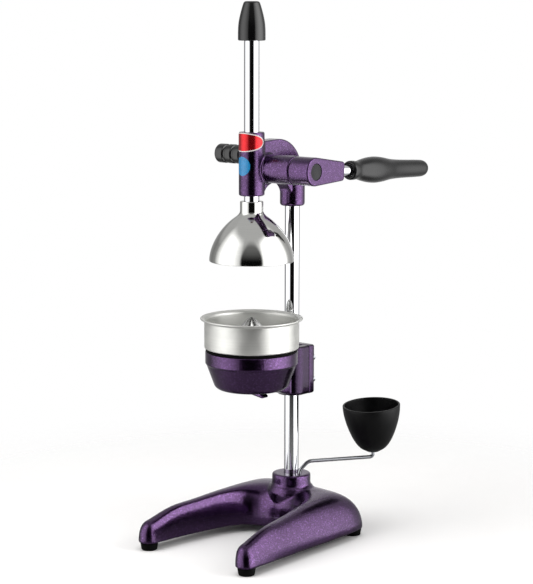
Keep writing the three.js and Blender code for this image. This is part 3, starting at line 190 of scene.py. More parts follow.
class PressStudio(bpy.types.PropertyGroup):
    """Floor, lamps and camera."""

    floor: swatch("Floor", "f6f5f4", "Colour of the floor")
    floor_reach: size("Floor reach", 240 * MM, "Where the floor starts to fade into the background")
    camera_turn: angle("Camera turn", 40.625, "Turn of the camera towards the lever side")
    camera_pitch: angle("Camera pitch", 8.798, "How far the camera looks down")
    camera_roll: angle("Camera roll", 0.1, "Roll of the camera")
    camera_distance: size("Camera distance", 1964 * MM, "From the aim point to the camera")
    aim_height: size("Aim height", 270 * MM, "Height of the aim point on the press rod's axis")
    aim_right: size("Aim right", 15.6 * MM, "How far the aim is moved to the camera's right")
    aim_up: size("Aim up", 2.9 * MM, "How far the aim is moved up")
    lens: FloatProperty(name="Lens", description="Focal length in millimetres", default=126.35)


# Mesh work: everything below acts on the one object in edit mode


def pick(*pieces):
    """Selects only these pieces and makes the first one active."""
    if bpy.context.object and bpy.context.object.mode == "EDIT":
        bpy.ops.object.mode_set(mode="OBJECT")
    bpy.ops.object.select_all(action="DESELECT")
    for piece in pieces:
        piece.select_set(True)
    bpy.context.view_layer.objects.active = pieces[0] if pieces else None


def edit(mode="VERT"):
    bpy.ops.object.mode_set(mode="EDIT")
    bpy.ops.mesh.select_mode(type=mode)
    bpy.ops.mesh.select_all(action="SELECT")


def draw(points, closed=False):
    """Merges a small plane to one vertex and extrudes it from point to point."""
    points = list(points) + ([points[0]] if closed else [])
    pick()
    bpy.ops.mesh.primitive_plane_add(size=MM, location=points[0])
    edit()
    bpy.ops.mesh.merge(type="CENTER")
    for here, there in zip(points, points[1:]):
        bpy.ops.mesh.extrude_region_move(TRANSFORM_OT_translate={"value": there - here})
    bpy.ops.mesh.select_all(action="SELECT")
    bpy.ops.mesh.remove_doubles(threshold=WELD)


def close_mesh():
    """Welds the doubles, turns the faces outwards and leaves edit mode."""
    bpy.ops.mesh.select_all(action="SELECT")
    bpy.ops.mesh.remove_doubles(threshold=WELD)
    bpy.ops.mesh.normals_make_consistent(inside=False)
    bpy.ops.object.mode_set(mode="OBJECT")
    return bpy.context.object


def turned(outline, centre, along=Z, out=None, steps=None, closed=False):
    """Spins an outline of (radius, distance along the axis) about that axis."""
    steps = steps or bpy.context.scene.press_sizes.steps
    if out is None:
        out = X if along == Z else Z
    draw([centre + out * radius + along * distance for radius, distance in outline], closed)
    bpy.ops.mesh.spin(steps=steps, angle=FULL_TURN, center=centre, axis=along)
    return close_mesh()


def skin(rings, closed=False):
    """Draws the first ring, extrudes it once for each other ring and sets its points on that ring."""
    draw(rings[0], closed)
    piece = bpy.context.object
    for ring, following in zip(rings, rings[1:]):
        bpy.ops.mesh.extrude_region_move(TRANSFORM_OT_translate={"value": (0, 0, 0)})
        mesh = bmesh.from_edit_mesh(piece.data)
        origin = piece.matrix_world.translation
        for vertex in (v for v in mesh.verts if v.select):
            here = vertex.co + origin
            nearest = min(range(len(ring)), key=lambda k: (ring[k] - here).length_squared)
            vertex.co = following[nearest] - origin
        bmesh.update_edit_mesh(piece.data)
    return piece


def plate(outline, corner, across, up, thickness):
    """Fills an outline of (across, up) distances from a corner and extrudes it by a vector."""
    draw([corner + across * a + up * b for a, b in outline], closed=True)
    bpy.ops.mesh.edge_face_add()
    bpy.ops.mesh.extrude_region_move(TRANSFORM_OT_translate={"value": thickness})
    return close_mesh()


def box_between(lowest, highest):
    """A plain block between two corners."""
    lowest = Vector(lowest)
    highest = Vector(highest)
    pick()
    bpy.ops.mesh.primitive_cube_add(size=1, location=(lowest + highest) / 2, scale=highest - lowest)
    return bpy.context.object


def modify(piece, kind, **settings):
    """Adds a modifier with its settings and applies it."""
    pick(piece)
    bpy.ops.object.modifier_add(type=kind)
    modifier = piece.modifiers[-1]
    for name, value in settings.items():
        setattr(modifier, name, value)
    bpy.ops.object.modifier_apply(modifier=modifier.name)


def round_edges(piece, width, segments, sharpness):
    """Bevels the edges that are sharper than a number of degrees."""
    pick(piece)
    edit("EDGE")
    bpy.ops.mesh.select_all(action="DESELECT")
    bpy.ops.mesh.edges_select_sharp(sharpness=math.radians(sharpness))
    bpy.ops.mesh.bevel(offset=width, segments=segments, affect="EDGES", clamp_overlap=True)
    return close_mesh()


def fuse(*pieces):
    """Makes one object of several, whose meshes may run through each other."""
    pick(*pieces)
    bpy.ops.object.join()
    return pieces[0]


def as_cast(piece, grain, rounds):
    """Runs overlapping solids into one skin and softens its edges and inner corners, as a casting has."""
    modify(piece, "REMESH", mode="VOXEL", voxel_size=grain, adaptivity=0)
    modify(piece, "SMOOTH", factor=0.5, iterations=rounds)
    return piece


def cut(piece, *cutters):
    """Takes each cutter out of the piece."""
    for cutter in cutters:
        modify(piece, "BOOLEAN", operation="DIFFERENCE", object=cutter, solver="EXACT")
        bpy.data.objects.remove(cutter)


def finish(piece, name, coat, node=None, body="stand", sharpness=35):
    """Names a piece, shades it, gives it its finish and seats it on its body in place of its solid."""
    slot, material = FINISHES[coat]
    pick(piece)
    bpy.ops.object.transform_apply(location=True, rotation=True, scale=True)
    bpy.ops.object.shade_smooth_by_angle(angle=math.radians(sharpness))
    piece.name = name
    piece.data.name = name
    piece.data.materials.clear()
    piece.data.materials.append(material)
    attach(piece, body)
    if node:
        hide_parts(node)


# Outlines


def arc(x, y, radius, start, end, steps=6):
    """Points round a circle in the plane of an outline, with the angles in degrees."""
    turns = [math.radians(start + (end - start) * i / steps) for i in range(steps + 1)]
    return [(x + radius * math.cos(turn), y + radius * math.sin(turn)) for turn in turns]


def curve(controls, steps):
    """Points along a Bezier curve."""
    points = []
    for i in range(steps + 1):
        row = [Vector(control) for control in controls]
        while len(row) > 1:
            row = [a.lerp(b, i / steps) for a, b in zip(row, row[1:])]
        points.append(tuple(row[0]))
    return points


def smooth_row(rows, share):
    """A row of numbers at a share of the way through a table, on a smooth curve through its rows."""
    place = share * (len(rows) - 1)
    i = min(int(place), len(rows) - 2)
    t = place - i
    before = rows[i - 1] if i else [2 * a - b for a, b in zip(rows[0], rows[1])]
    after = rows[i + 2] if i + 2 < len(rows) else [2 * a - b for a, b in zip(rows[-1], rows[-2])]
    made = []
    for p0, p1, p2, p3 in zip(before, rows[i], rows[i + 1], after):
        made.append(0.5 * (2 * p1 + (p2 - p0) * t + (2 * p0 - 5 * p1 + 4 * p2 - p3) * t ** 2
                           + (3 * p1 - p0 - 3 * p2 + p3) * t ** 3))
    return made


def bar(radius, start, end, edge=0):
    """Outline of a plain rod, with rounded ends if it has an edge."""
    if not edge:
        return [(0, start), (radius, start), (radius, end), (0, end)]
    return [
        (0, start),
        *arc(radius - edge, start + edge, edge, -90, 0, 4),
        *arc(radius - edge, end - edge, edge, 0, 90, 4),
        (0, end),
    ]


def drill(radius, start, end, centre, along=Z, steps=None):
    """A plain rod that cuts a hole."""
    return turned(bar(radius, start, end), centre, along, steps=steps)


# Materials


def add_node(tree, kind, inputs=None, out=0, stops=(), **settings):
    """Adds a shader node and returns its output, or all of them for None.

    An input is a value or the output it is linked to; stops are a ramp's (position, colour) pairs.
    A Mix node has its two colours at inputs 6 and 7, and the mixed one at output 2.
    """
    node = tree.nodes.new("ShaderNode" + kind)
    for name, value in settings.items():
        setattr(node, name, value)
    for name, value in (inputs or {}).items():
        if isinstance(value, bpy.types.NodeSocket):
            tree.links.new(value, node.inputs[name])
        else:
            node.inputs[name].default_value = value
    if stops:
        elements = node.color_ramp.elements
        while len(elements) < len(stops):
            elements.new(0.5)
        for element, (position, tint) in zip(elements, stops):
            element.position = position
            element.color = (*tint, 1)
    return node.outputs if out is None else node.outputs[out]


def empty_tree(owner):
    """Clears the nodes of a material or world, and returns add_node for its tree."""
    owner.use_nodes = True
    owner.node_tree.nodes.clear()
    return partial(add_node, owner.node_tree)


def new_material(name):
    material = bpy.data.materials.new(name)
    add = empty_tree(material)
    return material, add, add("TexCoord", out="Object")


def grey(value):
    return (value, value, value)


def shade(tint, share):
    """A colour made darker or lighter."""
    return [min(1, c * share) for c in tint]


def flake_paint(name, finishes, tone=1, painted_shade_span=None):
    """Metallic flake lacquer on a smooth casting: fine tilted flakes under a glossy clear coat.

    A tone below 1 darkens it all over, and a span along Y darkens it from one place to another: both are
    painted shade.
    """
    material, add, place = new_material(name)
    # Real flakes are 0.2 mm; drawn 0.8 mm across so that they show
    tilt = add("TexVoronoi", {"Vector": place, "Scale": 1 / (0.8 * MM)}, "Color")
    chance = add("SeparateColor", {"Color": tilt}, "Red")
    tints = (finishes.paint_deep, finishes.paint, finishes.paint, finishes.paint_glint)
    stops = [(share, shade(tint, tone)) for share, tint in zip((0, 0.3, 0.8, 1), tints)]
    tint = add("ValToRGB", {"Fac": chance}, stops=stops)
    # Painted shade: the colour darkens from one place along Y to another
    if painted_shade_span:
        start, end, dark = painted_shade_span
        along = add("SeparateXYZ", {"Vector": place}, "Y")
        painted_shade_share = add(
            "MapRange", {"Value": along, "From Min": start, "From Max": end, "To Min": 1, "To Max": dark},
            interpolation_type="SMOOTHSTEP")
        tint = add("VectorMath", {0: tint, "Scale": painted_shade_share}, operation="SCALE")
    centred = add("VectorMath", {0: tilt, 1: grey(0.5)}, operation="SUBTRACT")
    leaning = add("VectorMath", {0: centred, "Scale": 0.06}, operation="SCALE")
    outward = add("NewGeometry", out="Normal")
    tilted = add("VectorMath", {0: outward, 1: leaning}, operation="ADD")
    facing = add("VectorMath", {0: tilted}, operation="NORMALIZE")
    # Orange peel of the sprayed clear coat, 5 mm across
    peel = add("TexNoise", {"Vector": place, "Scale": 1 / (5 * MM), "Detail": 1})
    patches = add("TexNoise", {"Vector": place, "Scale": 1 / (14 * MM), "Detail": 3})
    shader = add("BsdfPrincipled", {
        "Base Color": tint,
        "Metallic": 1,
        "Roughness": add("ValToRGB", {"Fac": patches}, stops=[(0.3, grey(0.2)), (0.7, grey(0.27))]),
        "Normal": facing,
        "Coat Weight": 0.25,
        "Coat Roughness": 0.07,
        "Coat Normal": add("Bump", {"Height": peel, "Distance": 0.012 * MM, "Strength": 1}),
    })
    add("OutputMaterial", {"Surface": shader}, None)
    return material


def chrome_plate(name, tint):
    """Chrome on ground steel bar: a mirror with the faintest haze along the rod."""
    material, add, place = new_material(name)
    smears = add("TexNoise", {"Vector": place, "Scale": 1 / (9 * MM), "Detail": 3})
    haze = add("ValToRGB", {"Fac": smears}, stops=[(0.35, grey(0.03)), (0.7, grey(0.06))])
    shader = add("BsdfPrincipled", {"Base Color": (*tint, 1), "Metallic": 1, "Roughness": haze})
    add("OutputMaterial", {"Surface": shader}, None)
    return material


def turned_metal(name, tint, roughness, line, depth, metallic=1):
    """Metal finished on a lathe about the press rod's axis: fine rings under soft smears of polish."""
    material, add, place = new_material(name)
    shifted = add("Mapping", {"Vector": place, "Location": (-ROD_AXIS.x, -ROD_AXIS.y, 0)})
    parts = add("SeparateXYZ", {"Vector": shifted}, None)
    flat = add("CombineXYZ", {"X": parts["X"], "Y": parts["Y"]})
    reach = add("VectorMath", {0: flat}, "Value", operation="LENGTH")
    round_axis = add("CombineXYZ", {"X": reach, "Z": parts["Z"]})
    rings = add("TexNoise", {"Vector": round_axis, "Scale": 1 / line, "Detail": 2})
    smears = add("TexNoise", {"Vector": place, "Scale": 1 / (16 * MM), "Detail": 3})
    tones = [(0.3, shade(tint, 0.93)), (0.7, tint)]
    shines = [(0.3, grey(roughness * 0.75)), (0.75, grey(roughness * 1.3))]
    shader = add("BsdfPrincipled", {
        "Base Color": add("ValToRGB", {"Fac": rings}, stops=tones),
        "Metallic": metallic,
        "Roughness": add("ValToRGB", {"Fac": smears}, stops=shines),
        "Normal": add("Bump", {"Height": rings, "Distance": depth, "Strength": 1}),
    })
    add("OutputMaterial", {"Surface": shader}, None)
    return material


def plain_metal(name, tint, roughness, grain):
    """Metal with a fine even grain, as plating or a polished casting has."""
    material, add, place = new_material(name)
    specks = add("TexNoise", {"Vector": place, "Scale": 1 / grain, "Detail": 3})
    tones = [(0.3, shade(tint, 0.88)), (0.7, tint)]
    shines = [(0.3, grey(roughness * 1.25)), (0.7, grey(roughness * 0.85))]
    shader = add("BsdfPrincipled", {
        "Base Color": add("ValToRGB", {"Fac": specks}, stops=tones),
        "Metallic": 1,
        "Roughness": add("ValToRGB", {"Fac": specks}, stops=shines),
        "Normal": add("Bump", {"Height": specks, "Distance": 0.02 * MM, "Strength": 1}),
    })
    add("OutputMaterial", {"Surface": shader}, None)
    return material


def moulded(name, tint, roughness, grain, depth, gloss):
    """Moulded plastic or rubber: a fine spark-eroded grain and slightly uneven shine."""
    material, add, place = new_material(name)
    fine = add("TexNoise", {"Vector": place, "Scale": 1 / grain, "Detail": 2})
    patches = add("TexNoise", {"Vector": place, "Scale": 1 / (11 * MM), "Detail": 2})
    tones = [(0.25, shade(tint, 0.8)), (0.75, shade(tint, 1.15))]
    shines = [(0.3, grey(roughness * 0.85)), (0.7, grey(roughness * 1.15))]
    shader = add("BsdfPrincipled", {
        "Base Color": add("ValToRGB", {"Fac": patches}, stops=tones),
        "Roughness": add("ValToRGB", {"Fac": patches}, stops=shines),
        "Specular IOR Level": gloss,
        "Normal": add("Bump", {"Height": fine, "Distance": depth, "Strength": 1}),
    })
    add("OutputMaterial", {"Surface": shader}, None)
    return material


def vinyl(name, tint, metallic=0):
    """Glossy plain vinyl film, slightly mottled; metallised film also mirrors the room in its colour."""
    material, add, place = new_material(name)
    mottle = add("TexNoise", {"Vector": place, "Scale": 1 / (5 * MM), "Detail": 2})
    shader = add("BsdfPrincipled", {
        "Base Color": add("ValToRGB", {"Fac": mottle}, stops=[(0.3, shade(tint, 0.85)), (0.7, tint)]),
        "Metallic": metallic,
        "Roughness": 0.24,
        "Coat Weight": 0.15,
        "Coat Roughness": 0.05,
    })
    add("OutputMaterial", {"Surface": shader}, None)
    return material


# The slot and the material of each finish
FINISHES = {}


def make_finishes():
    """Makes each finish once."""
    tints = bpy.context.scene.press_finishes
    black = tints.plastic
    # Painted shade: the bowl's paint darkens between these distances behind the rod, where its bracket
    # starts
    bracket_from = ROD_AXIS.y + 46 * MM
    bracket_to = ROD_AXIS.y + 57 * MM
    FINISHES.update({
        # Sprayed lacquer with metal flakes: deep violet that sparkles
        "paint": ("flake_paint", flake_paint("flake_lacquer_on_cast_aluminium", tints)),
        # The same lacquer with painted shade, almost black in the bracket behind the bowl
        "bowl_paint_painted_shade": ("flake_paint", flake_paint(
            "flake_lacquer_painted_shade_on_bowl", tints, painted_shade_span=(bracket_from, bracket_to, 0.33))),
        # The same lacquer, darkened all over as painted shade on the block behind the column
        "clamp_paint_painted_shade": ("flake_paint", flake_paint("flake_lacquer_painted_shade_on_clamp", tints, tone=0.54)),
        # Plated ground bar: hard bright and dark stripes along the rods
        "chrome": ("chrome", chrome_plate("bright_chrome_plate", tints.chrome)),
        # Spun and buffed steel: a clear mirror with barely visible rings
        "bell": ("polished_bell", turned_metal(
            "mirror_polished_spun_steel", tints.bell, 0.08, 1.2 * MM, 0.001 * MM)),
        # Pressed sheet brushed on a lathe: a soft even grey that blurs what it mirrors
        "stainless": ("stainless", turned_metal(
            "satin_brushed_stainless", tints.stainless, 0.4, 0.9 * MM, 0.002 * MM, 0.68)),
        # Drawn wire: darker and a little duller than plate
        "wire": ("chrome", plain_metal("bright_drawn_wire", tints.wire, 0.12, 2 * MM)),
        # Tumbled casting: broad soft highlights on round ribs
        "reamer": ("cast_reamer", plain_metal("tumbled_cast_aluminium", tints.reamer, 0.24, 1.2 * MM)),
        # Electroplated zinc: cool grey, slightly frosted
        "zinc": ("zinc", plain_metal("zinc_plated_steel", tints.zinc, 0.32, 0.8 * MM)),
        # ABS from a polished mould: sharp small highlights on black
        "plastic": ("black_plastic", moulded("glossy_abs", black, 0.15, 0.5 * MM, 0.004 * MM, 0.5)),
        # ABS from a fine-blasted mould: a wide soft sheen along the grip
        "grip": ("black_plastic", moulded("satin_abs", black, 0.27, 0.5 * MM, 0.006 * MM, 0.36)),
        # ABS from a textured mould: nearly no highlight, so the cup reads as a plain black shape
        "cup": ("black_plastic", moulded("matt_abs", black, 0.42, 0.5 * MM, 0.01 * MM, 0.15)),
        # Dark grey ABS with a coarse grain: flat and dusty beside the painted arm
        "disc": ("grey_plastic", moulded("grey_abs", tints.disc, 0.5, 0.5 * MM, 0.015 * MM, 0.25)),
        # Compression-moulded rubber: dull black with no mirror at all
        "rubber": ("foot_rubber", moulded("moulded_rubber", tints.rubber, 0.7, 0.8 * MM, 0.03 * MM, 0.05)),
        # Cut self-adhesive vinyl: clean edges and an even gloss, metallised under the red
        "oval_border": ("flake_paint", vinyl("pale_vinyl", tints.band_edge)),
        "oval": ("flake_paint", vinyl("red_film", tints.band, 0.75)),
        "dot": ("flake_paint", vinyl("blue_vinyl", tints.dot)),
    })


# Pieces


# Inner and outer edge of the leg, from its tip to the middle of the back: across and back as shares
# of the base, and the crest's height or its place across the leg
INNER_EDGE_SHARES = [
    (0.712, 0, 0.615), (0.682, 0.163, 0.79), (0.62, 0.33, 0.845), (0.55, 0.47, 0.9), (0.43, 0.572, 0.94),
    (0.27, 0.612, 0.965), (0.16, 0.624, 0.975), (0.08, 0.63, 0.99), (0, 0.63, 1),
]
OUTER_EDGE_SHARES = [
    (1, 0, 0.46), (0.985, 0.163, 0.4), (0.97, 0.33, 0.36), (0.96, 0.51, 0.34), (0.95, 0.72, 0.38),
    (0.92, 0.895, 0.42), (0.82, 0.978, 0.42), (0.5, 0.997, 0.4), (0, 1, 0.4),
]
BASE_HALF_WIDTH = 80 * MM
BASE_CREST = 52 * MM
LEG_TIP_RADIUS = 11.5 * MM
INNER_ARCH_POWER = 2.8
OUTER_ARCH_POWER = 2.2
TIP_STEPS = 8
LEG_STEPS = 40
ARCH_STEPS = 12


def arch_ring(inner, outer, crest, crest_share):
    """Points over the leg's arch, from its inner edge on the table side to its outer one."""
    points = []
    for i in range(2 * ARCH_STEPS + 1):
        rise = math.pi / 2 * (i if i <= ARCH_STEPS else 2 * ARCH_STEPS - i) / ARCH_STEPS
        power = 2 / (INNER_ARCH_POWER if i <= ARCH_STEPS else OUTER_ARCH_POWER)
        flat = max(0, math.cos(rise)) ** power
        across = crest_share * (1 - flat) if i <= ARCH_STEPS else crest_share + (1 - crest_share) * flat
        height = BASE_BOTTOM + (crest - BASE_BOTTOM) * math.sin(rise) ** power
        points.append(level(inner.lerp(outer, across), height))
    return points


def leg_rings():
    """Sections of the right half of the horseshoe, from the front tip to the middle of the back."""
    along = high("base_casting").y - (ROD_AXIS.y + FRONT_FOOT.y)

    def edge_point(rows, share):
        across, back, third = smooth_row(rows, share)
        return ROD_AXIS + Vector((across * BASE_HALF_WIDTH, FRONT_FOOT.y + back * along, 0)), third

    rings = []
    inner, rise = edge_point(INNER_EDGE_SHARES, 0)
    outer, crest_share = edge_point(OUTER_EDGE_SHARES, 0)
    centre = (inner + outer) / 2
    for i in range(TIP_STEPS):
        # The first section stands a quarter step inside the round tip
        turn = math.pi / 2 * (1 - (i + 0.25) / (TIP_STEPS + 0.25))
        half = X * LEG_TIP_RADIUS * math.cos(turn)
        front = centre - Y * LEG_TIP_RADIUS * math.sin(turn)
        fall = math.cos(turn) ** (2 / INNER_ARCH_POWER)
        crest = BASE_BOTTOM + (rise * BASE_CREST - BASE_BOTTOM) * fall
        rings.append(arch_ring(front - half, front + half, crest, crest_share))
    for i in range(LEG_STEPS + 1):
        inner, rise = edge_point(INNER_EDGE_SHARES, i / LEG_STEPS)
        outer, crest_share = edge_point(OUTER_EDGE_SHARES, i / LEG_STEPS)
        rings.append(arch_ring(inner, outer, rise * BASE_CREST, crest_share))
    return rings


class PRESS_OT_base(bpy.types.Operator):
    """Horseshoe base casting with its hub."""

    bl_idname = "press.base"
    bl_label = "Base casting"

    def execute(self, context):
        sizes = context.scene.press_sizes
        top = high("base_casting").z
        post = bar(6.5 * MM, BASE_BOTTOM, 20 * MM)
        solids = [self.legs(sizes), self.hub(sizes, top)]
        solids += [turned(post, foot_axis(corner), steps=40) for corner in CORNERS]
        base = as_cast(fuse(*solids), sizes.base_voxel, 6)
        bore = sizes.rod_radius + GAP
        seat = low("column").z
        bolt_hole = 4.3 * MM
        peg_depth = 14.3 * MM
        screw_depth = 17.3 * MM
        cutters = [
            drill(bore, seat - GAP, top + bore, COLUMN_AXIS),
            drill(bolt_hole, 0, seat, COLUMN_AXIS, steps=32),
            drill(SCREW_HOLE, top - peg_depth, top + bore, swing_axis(), steps=32),
        ]
        cutters += [drill(SCREW_HOLE, 0, screw_depth, foot_axis(corner), steps=32) for corner in CORNERS]
        cut(base, *cutters)
        finish(base, "base_shell", "paint", "base_casting")
        return {"FINISHED"}

    def legs(self, sizes):
        """The horseshoe: one half skinned over its sections, mirrored, and hollow below."""
        legs = skin(leg_rings())
        bpy.ops.mesh.select_all(action="SELECT")
        bpy.ops.mesh.normals_make_consistent(inside=False)
        pick(legs)
        bpy.ops.object.transform_apply(location=True)
        legs.data.transform(Matrix.Translation(-ROD_AXIS))
        legs.location = ROD_AXIS
        modify(legs, "MIRROR", use_axis=(True, False, False), merge_threshold=0.1 * MM)
        modify(legs, "SOLIDIFY", thickness=sizes.casting_wall, offset=-1, use_even_offset=True)
        return legs

    def hub(self, sizes, top):
        radius = sizes.hub_radius
        flare = radius + sizes.hub_flare
        edge = sizes.edge
        bottom = 18 * MM
        step = 46.2 * MM
        step_round = 1.5 * MM
        root = 3 * MM
        return turned([
            (0, bottom),
            (radius, bottom),
            (flare, step - step_round),
            *arc(flare - step_round, step + 1 * MM, step_round, 0, 80, 4),
            *arc(radius + root, step + 3 * root, root, -100, -180, 5),
            *arc(radius - edge, top - edge, edge, 0, 90, 5),
            (0, top),
        ], COLUMN_AXIS)


class PRESS_OT_feet(bpy.types.Operator):
    """Rubber feet, each a tapered pad with a rounded rim and a recess for its screw."""

    bl_idname = "press.feet"
    bl_label = "Feet"

    def execute(self, context):
        top = high("foot_front_left").z
        recess = 4.3 * MM
        recess_depth = 4.6 * MM
        bottom = 8.5 * MM
        rim = 1.2 * MM
        radius = 9.5 * MM
        edge = 0.5 * MM
        outline = [
            (recess, edge),
            (recess + edge, 0),
            *arc(bottom - rim, rim, rim, -90, -5, 4),
            *arc(radius - edge, top - edge, edge, 0, 90, 3),
            (SCREW_HOLE, top),
            (SCREW_HOLE, recess_depth),
            (recess, recess_depth),
        ]
        for corner in CORNERS:
            pad = turned(outline, foot_axis(corner), steps=48, closed=True)
            finish(pad, f"rubber_foot_{corner}", "rubber", f"foot_{corner}")
        return {"FINISHED"}


class PRESS_OT_column(bpy.types.Operator):
    """Chrome column with rounded ends."""

    bl_idname = "press.column"
    bl_label = "Column"

    def execute(self, context):
        radius = context.scene.press_sizes.rod_radius
        rod = turned(bar(radius, low("column").z, high("column").z, 0.7 * MM), COLUMN_AXIS)
        finish(rod, "column_rod", "chrome", "column")
        return {"FINISHED"}


class PRESS_OT_head(bpy.types.Operator):
    """Head casting: guide sleeve, bridge, column socket, pinion boss and grip boss in one skin."""

    bl_idname = "press.head"
    bl_label = "Head casting"

    def execute(self, context):
        sizes = context.scene.press_sizes
        edge = sizes.edge
        top = high("head_casting").z
        sleeve_bottom = PINION.z - 28 * MM
        socket_bottom = low("head_casting").z
        socket_top = PINION.z + 1.5 * MM
        # Where the pinion's boss ends on the lever side and on the grip side
        face = 48.6 * MM
        end_face = -13 * MM
        head = as_cast(fuse(
            turned(bar(sizes.sleeve_radius, sleeve_bottom, top, edge), ROD_AXIS),
            turned(bar(sizes.socket_radius, socket_bottom, socket_top, 2 * edge), COLUMN_AXIS),
            self.bridge(sizes),
            self.pinion_boss(sizes, face),
            turned(bar(12.5 * MM, end_face, 0, edge), BOSS_AXIS, X),
            self.grip_boss(sizes),
        ), sizes.voxel, 7)
        bore = sizes.rod_radius + GAP
        gear_bore = 10.5 * MM
        journal_bore = 6.3 * MM
        cut(
            head,
            drill(bore, sleeve_bottom - bore, top + bore, ROD_AXIS),
            drill(bore, socket_bottom - bore, high("column").z + GAP, COLUMN_AXIS),
            drill(gear_bore, -8.3 * MM, face + bore, BOSS_AXIS, X),
            drill(journal_bore, end_face - bore, 0, BOSS_AXIS, X),
            drill(3.3 * MM, 0, 20 * MM, level(COLUMN_AXIS, middle("head_set_screw").z), Y, 32),
        )
        finish(head, "head_shell", "paint", "head_casting")
        return {"FINISHED"}

    def bridge(self, sizes):
        """The web between sleeve and socket: round back above, arch below, with soft edges."""
        dome_y = 35 * MM
        dome_top = PINION.z + 29.5 * MM
        dome_z = dome_top - sizes.dome_radius
        bend = 17 * MM
        arch_z = PINION.z - 16.5 * MM - bend
        near_bend = sizes.sleeve_radius + 13 * MM
        far_bend = SETBACK - sizes.socket_radius - 14.8 * MM
        foot_rise = PINION.z - 27.3 * MM - arch_z
        foot_angle = 180 - math.degrees(math.asin(foot_rise / bend))
        outline = [
            (0, arch_z + foot_rise),
            *arc(near_bend, arch_z, bend, foot_angle, 90, 14),
            *arc(far_bend, arch_z, bend, 90, 0, 16),
            (SETBACK, arch_z),
            (SETBACK, dome_z),
            *arc(dome_y, dome_z, sizes.dome_radius, 0, 90, 20),
            (0, dome_top - sizes.edge),
        ]
        web = plate(outline, ROD_AXIS - X * sizes.web / 2, Y, Z, X * sizes.web)
        return round_edges(web, 3.2 * MM, 5, 60)

    def pinion_boss(self, sizes, face):
        radius = sizes.boss_radius
        edge = sizes.edge
        fillet = 3.4 * MM
        return turned([
            (0, 0),
            (radius + fillet, 0),
            *arc(radius + fillet, sizes.web / 2 + fillet, fillet, -90, -180, 8),
            *arc(radius - edge, face - edge, edge, 0, 90, 5),
            (0, face),
        ], BOSS_AXIS, X)

    def grip_boss(self, sizes):
        grip = middle("side_grip")
        start = -sizes.web / 2
        end = high("side_grip").x + sizes.grip_skirt - ROD_AXIS.x + GAP
        radius = 11 * MM
        fillet = 4 * MM
        edge = sizes.edge / 2
        return turned([
            (0, 0),
            (radius + fillet, 0),
            (radius + fillet, start),
            *arc(radius + fillet, start - fillet, fillet, 90, 180, 5),
            *arc(radius - edge, end + edge, edge, 0, -90, 3),
            (0, end),
        ], Vector((ROD_AXIS.x, grip.y, grip.z)), X)


class PRESS_OT_side_grip(bpy.types.Operator):
    """Moulded side grip with three rounded ribs."""

    bl_idname = "press.side_grip"
    bl_label = "Side grip"

    def execute(self, context):
        centre = middle("side_grip")
        centre.x = high("side_grip").x + context.scene.press_sizes.grip_skirt
        length = centre.x - low("side_grip").x
        radius = 10.25 * MM
        groove = radius - 1.7 * MM
        edge = 2.2 * MM
        rib_edge = 1.2 * MM
        ribs = 3
        span = (length - edge) / ribs
        outline = [(0, 0), (groove - 0.4 * MM, 0)]
        for i in range(ribs):
            start = i * span
            outline += [(groove, start + 0.6 * MM), (groove, start + span * 0.2)]
            outline += arc(radius - rib_edge, start + span * 0.34, rib_edge, -70, 0, 4)
            if i < ribs - 1:
                outline += arc(radius - rib_edge, start + span * 0.86, rib_edge, 0, 70, 4)
        outline += arc(radius - edge, length - edge, edge, 0, 90)
        outline.append((0, length))
        grip = turned(outline, centre, -X)
        finish(grip, "side_grip_moulding", "plastic", "side_grip")
        return {"FINISHED"}


# Outline of the rod's cap: height as a share of its own, radius as a share of its largest
CAP_SHARES = [(0.03, 1), (0.25, 0.995), (0.45, 0.955), (0.65, 0.845), (0.85, 0.695), (0.93, 0.62)]


